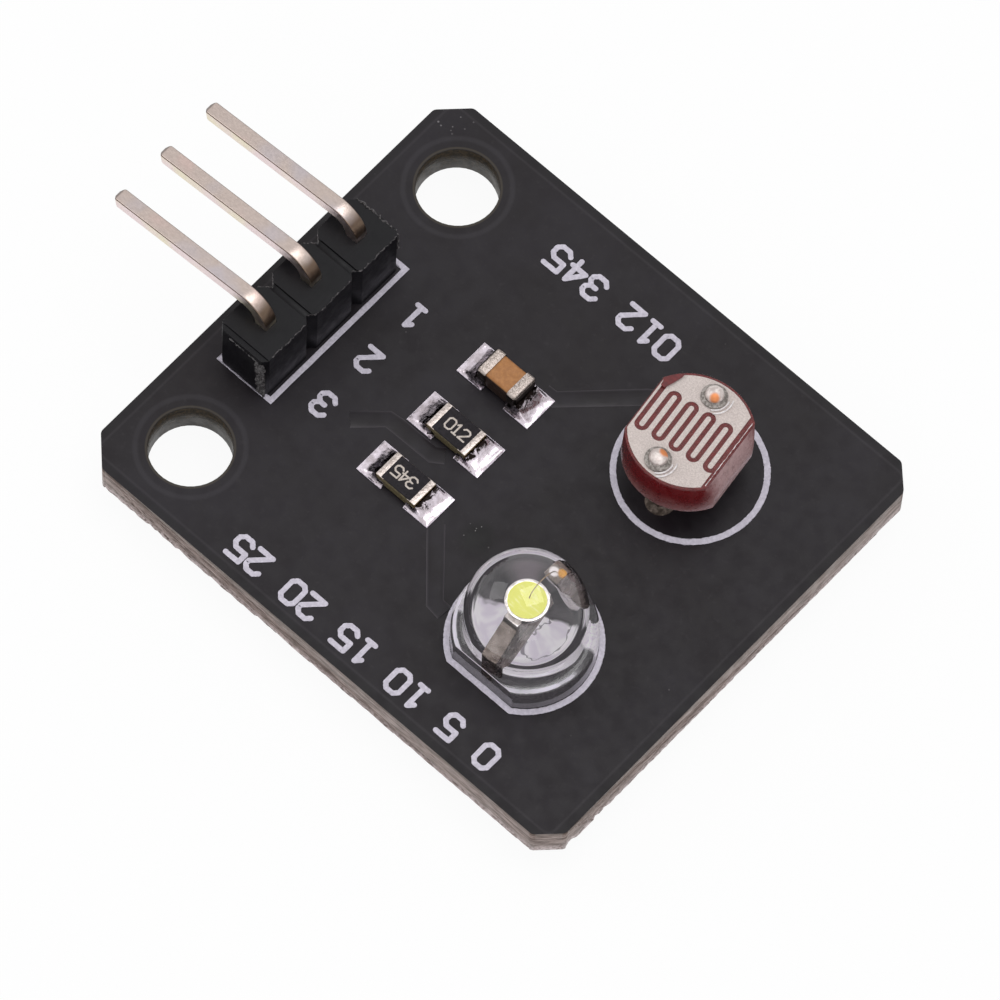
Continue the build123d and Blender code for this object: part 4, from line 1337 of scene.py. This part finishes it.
# The waves are painted nearly white: a painted highlight on the clear coat's bumps.
wave_highlight_finish = Finish("cell_wave", (244, 240, 240), 0.25)
wave_highlight_finish.color(wave_highlight_finish.mottle(0.2, (224, 216, 216), (255, 252, 252), 3.0, high=0.65))
wave_highlight_finish.bump(wave_highlight_finish.grain(0.1), 0.01, 0.5)
print("collar and waves have", len(collar_finish.tree.nodes) + len(wave_highlight_finish.tree.nodes), "nodes")

# %% [markdown]
# The face is tilted, so its height has to be found for every place. One could work it out from the tilt,
# but asking the mesh is surer: a ray straight down gives both the place and the direction of the face.

# %% Probe of the face
PROBE_HEIGHT = 9


def face_point(x, y):
    """The place and direction of the coated face under a point, in millimetres."""
    _, place, direction, _ = glassy.ray_cast(mm(x, y, PROBE_HEIGHT), Vector((0, 0, -1)))
    return place / MM, direction


bpy.context.view_layer.update()
print("face near its middle at", [round(v, 2) for v in face_point(14.47, 4.62)[0]])

# %% [markdown]
# Tip and collar are turned like the lens, round the lead, and then tilted with the face. The height of the
# face is probed a little beside the lead, where the coat has no hole, and carried back along its tilt. The
# waves are ribs along arcs, like the track ridges.

# %% Cell leads
PROBE_ASIDE = (0.6, 0.1)
WAVE_RADII = (0.6, 0.74)
WAVE_STEPS = 12
for number in (1, 2):
    lead = rounded_copy(f"cell_lead_{number}", f"cell_lead_{number}_tinned", 0.07, 3, 50.0)
    settle(lead, "lead_wire", wire, f"cell_lead_{number}")
    x, y = tips[number].x, tips[number].y
    aside, lean = face_point(x + PROBE_ASIDE[0], y + PROBE_ASIDE[1])
    base = aside.z + PROBE_ASIDE[0] * lean.x / lean.z + PROBE_ASIDE[1] * lean.y / lean.z
    tip_rings = [(0.36, base - 0.03), (0.365, base + 0.15), (0.35, base + 0.23), (0.3, base + 0.3)]
    tip_rings += [(0.22, base + 0.34), (0.11, base + 0.362), (0.03, base + 0.366)]
    collar_rings = [(0.53, base - 0.02), (0.53, base + 0.015), (0.48, base + 0.04)]
    collar_rings += [(0.43, base + 0.05), (0.395, base + 0.08), (0.375, base + 0.13), (0.33, base + 0.14)]
    for part_name, rings, finish, slot in (
            ("tip", tip_rings, wire, "lead_wire"), ("collar", collar_rings, collar_finish, "cell_coat")):
        body = turned(f"cell_lead_{number}_{part_name}", (x, y), rings, 40)
        edit(body)
        bpy.ops.transform.translate(value=-mm(x, y, base))
        stop_edit()
        turn = lean.to_track_quat("Z", "Y").to_matrix()
        for vertex in body.data.vertices:
            vertex.co = turn @ vertex.co + mm(x, y, base)
        even_shading(body, 50)
        settle(body, slot, finish)
    for wave, radius in enumerate(WAVE_RADII):
        knots = []
        for step in range(WAVE_STEPS + 1):
            angle = math.radians(-62 + 80 * step / WAVE_STEPS + 8 * wave)
            knots.append((x + radius * math.cos(angle), y + radius * math.sin(angle)))
        level = face_point(*knots[WAVE_STEPS // 2])[0].z
        ripple_rib = rib(f"cell_wave_{number}_{wave}", knots, 0.03, level - 0.01, 0.075)
        settle(ripple_rib, "cell_coat", wave_highlight_finish)

# %% [markdown]
# Along the flat side the coat stands up as a thin ridge, painted pale as a painted highlight, and near one
# corner the silver was never printed, so the red film shows. The ridge is a thin rod along the edge, like
# the torn plastic lips. The red corner is a sliver of film on the face: a filled circle whose points are
# moved to the corner's outline, and which is then extruded to a thickness.

# %% Cell edge and corner
edge_low, _ = face_point(16.44, 3.25)
edge_high, _ = face_point(15.96, 6.5)
ridge_rod = burr("cell_edge_ridge", edge_low, edge_high, thick=0.014, ragged=0.01, cuts=40, seed=70)
# The edge ridge takes the nearly white finish: a painted highlight along the coat's edge.
settle(ridge_rod, "cell_coat", wave_highlight_finish)
corner_outline = [
    (12.36, 5.3), (12.26, 5.66), (12.52, 6.1), (12.72, 6.3), (12.74, 6.1), (12.66, 5.7), (12.54, 5.3)]
deselect()
bpy.ops.mesh.primitive_circle_add(
    vertices=len(corner_outline), radius=0.5 * MM, fill_type="NGON", location=(0, 0, 0))
corner = fresh("cell_film_corner")
for vertex, (x, y) in zip(corner.data.vertices, corner_outline):
    place, direction = face_point(x, y)
    vertex.co = (place + direction * COAT_LIFT) * MM
edit(corner, "FACE")
extrude_up(0.012)
close_edit()
settle(corner, "cell_film", film)

# %% [markdown]
# ## Printed numbers
# Beside the pins, along the long edge and near the cell the board carries small print. Here it is plain
# numbers in a draughtsman's stroke font: one pen width, round ends, clipped corners. A font file would
# bring its own style, so the strokes are listed on a grid of four by six and drawn with flat bars and
# discs. Each bar is a touch thinner than the discs, so that no two faces lie in one plane.

# %% Stroke font
STROKES = {
    "0": [[(1, 0), (3, 0), (4, 1), (4, 5), (3, 6), (1, 6), (0, 5), (0, 1), (1, 0)]],
    "1": [[(0.8, 4.8), (2, 6), (2, 0)], [(0.8, 0), (3.2, 0)]],
    "2": [[(0, 5), (1, 6), (3, 6), (4, 5), (4, 4), (0, 0), (4, 0)]],
    "3": [
        [(0, 5), (1, 6), (3, 6), (4, 5), (4, 4), (3, 3), (4, 2), (4, 1), (3, 0), (1, 0), (0, 1)],
        [(1.6, 3), (3, 3)]],
    "4": [[(3, 0), (3, 6), (0, 2), (4, 2)]],
    "5": [[(4, 6), (0, 6), (0, 3.5), (3, 3.5), (4, 2.5), (4, 1), (3, 0), (1, 0), (0, 1)]],
}


def disc(place, radius, level, thick):
    """A flat round end for a stroke, as a small squat cylinder."""
    bpy.ops.mesh.primitive_cylinder_add(
        vertices=16, radius=radius * MM, depth=thick * MM,
        location=mm(place[0], place[1], level + thick / 2))
    bpy.ops.object.transform_apply(location=True, rotation=True, scale=True)
    return bpy.context.object


def bar(start, end, radius, level, thick):
    """The straight part of a stroke: a flat box from one point to the next."""
    run = Vector((end[0] - start[0], end[1] - start[1]))
    bpy.ops.mesh.primitive_cube_add(
        size=1, location=mm((start[0] + end[0]) / 2, (start[1] + end[1]) / 2, level + thick / 2),
        rotation=(0, 0, math.atan2(run.y, run.x)), scale=(run.length * MM, 2 * radius * MM, thick * MM))
    bpy.ops.object.transform_apply(location=True, rotation=True, scale=True)
    return bpy.context.object


def printed(name, text, origin, size, advance, right, up, pen, level, thick):
    """A line of numbers. Origin is the first figure's lower left corner, in millimetres."""
    deselect()
    made = []
    bars_made = 0
    for index, figure in enumerate(text):
        dotted = []
        for stroke in STROKES.get(figure, []):
            points = []
            for gx, gy in stroke:
                across = index * advance + gx * size / 6
                rise = gy * size / 6
                points.append((
                    origin[0] + right[0] * across + up[0] * rise,
                    origin[1] + right[1] * across + up[1] * rise,
                ))
            for a, b in zip(points, points[1:]):
                bars_made += 1
                made.append(bar(a, b, pen, level, thick * (0.8 + 0.02 * (bars_made % 8))))
            for p in points:
                if p not in dotted:
                    dotted.append(p)
                    made.append(disc(p, pen, level, thick))
    piece = joined(made, name)
    fray_ink(piece, 3, 0.1 * pen)
    return piece


print("figures in the stroke font:", " ".join(STROKES))

# %% [markdown]
# The numbers on the board read from its far side. Pen width and thickness are the same for all of them, and
# each line of numbers becomes one piece.

# %% Numbers on the board
INK_THICK = 0.03
PEN = 0.1
BACKWARDS = ((-1, 0), (0, -1))
BOARD_PRINT = (
    ("numbers_long_edge", "0 5 10 15 20 25", (17.2, -8.85), 0.98, 0.9),
    ("numbers_by_cell", "012 345", (10.8, 8.45), 1.0, 0.93),
    ("number_pin_1", "1", (2.8, 2.31 + 0.48), 0.98, 1.0),
    ("number_pin_2", "2", (2.8, -0.23 + 0.48), 0.98, 1.0),
    ("number_pin_3", "3", (2.8, -2.77 + 0.48), 0.98, 1.0),
)
for name, figures, origin, size, advance in BOARD_PRINT:
    row = printed(name, figures, origin, size, advance, *BACKWARDS, PEN, BOARD_TOP, INK_THICK)
    settle(row, "white_ink", ink)

# %% [markdown]
# The resistors carry three small figures each, in beige. They are printed with a finer pen and thinner ink,
# one line the right way round and the other turned by half a turn.

# %% Numbers on the resistors
beige = Finish("beige_ink", (190, 180, 165), 0.5)
beige.color(beige.mottle(0.05, (186, 174, 164), (218, 208, 200)))
beige.bump(beige.grain(0.04), 0.006, 0.5)
FORWARDS = ((1, 0), (0, 1))
FINE_PEN = 0.034
GLAZE_TOP = 2.2
CHIP_PRINT = (
    ("numbers_resistor_a", "012", (6.6, CHIP_ROWS["resistor_a"] - 0.24), FORWARDS),
    ("numbers_resistor_b", "345", (7.52, CHIP_ROWS["resistor_b"] + 0.24), BACKWARDS),
)
for name, figures, origin, direction in CHIP_PRINT:
    row = printed(name, figures, origin, 0.48, 0.36, *direction, FINE_PEN, GLAZE_TOP, 0.012)
    settle(row, "resistor_glaze", beige)
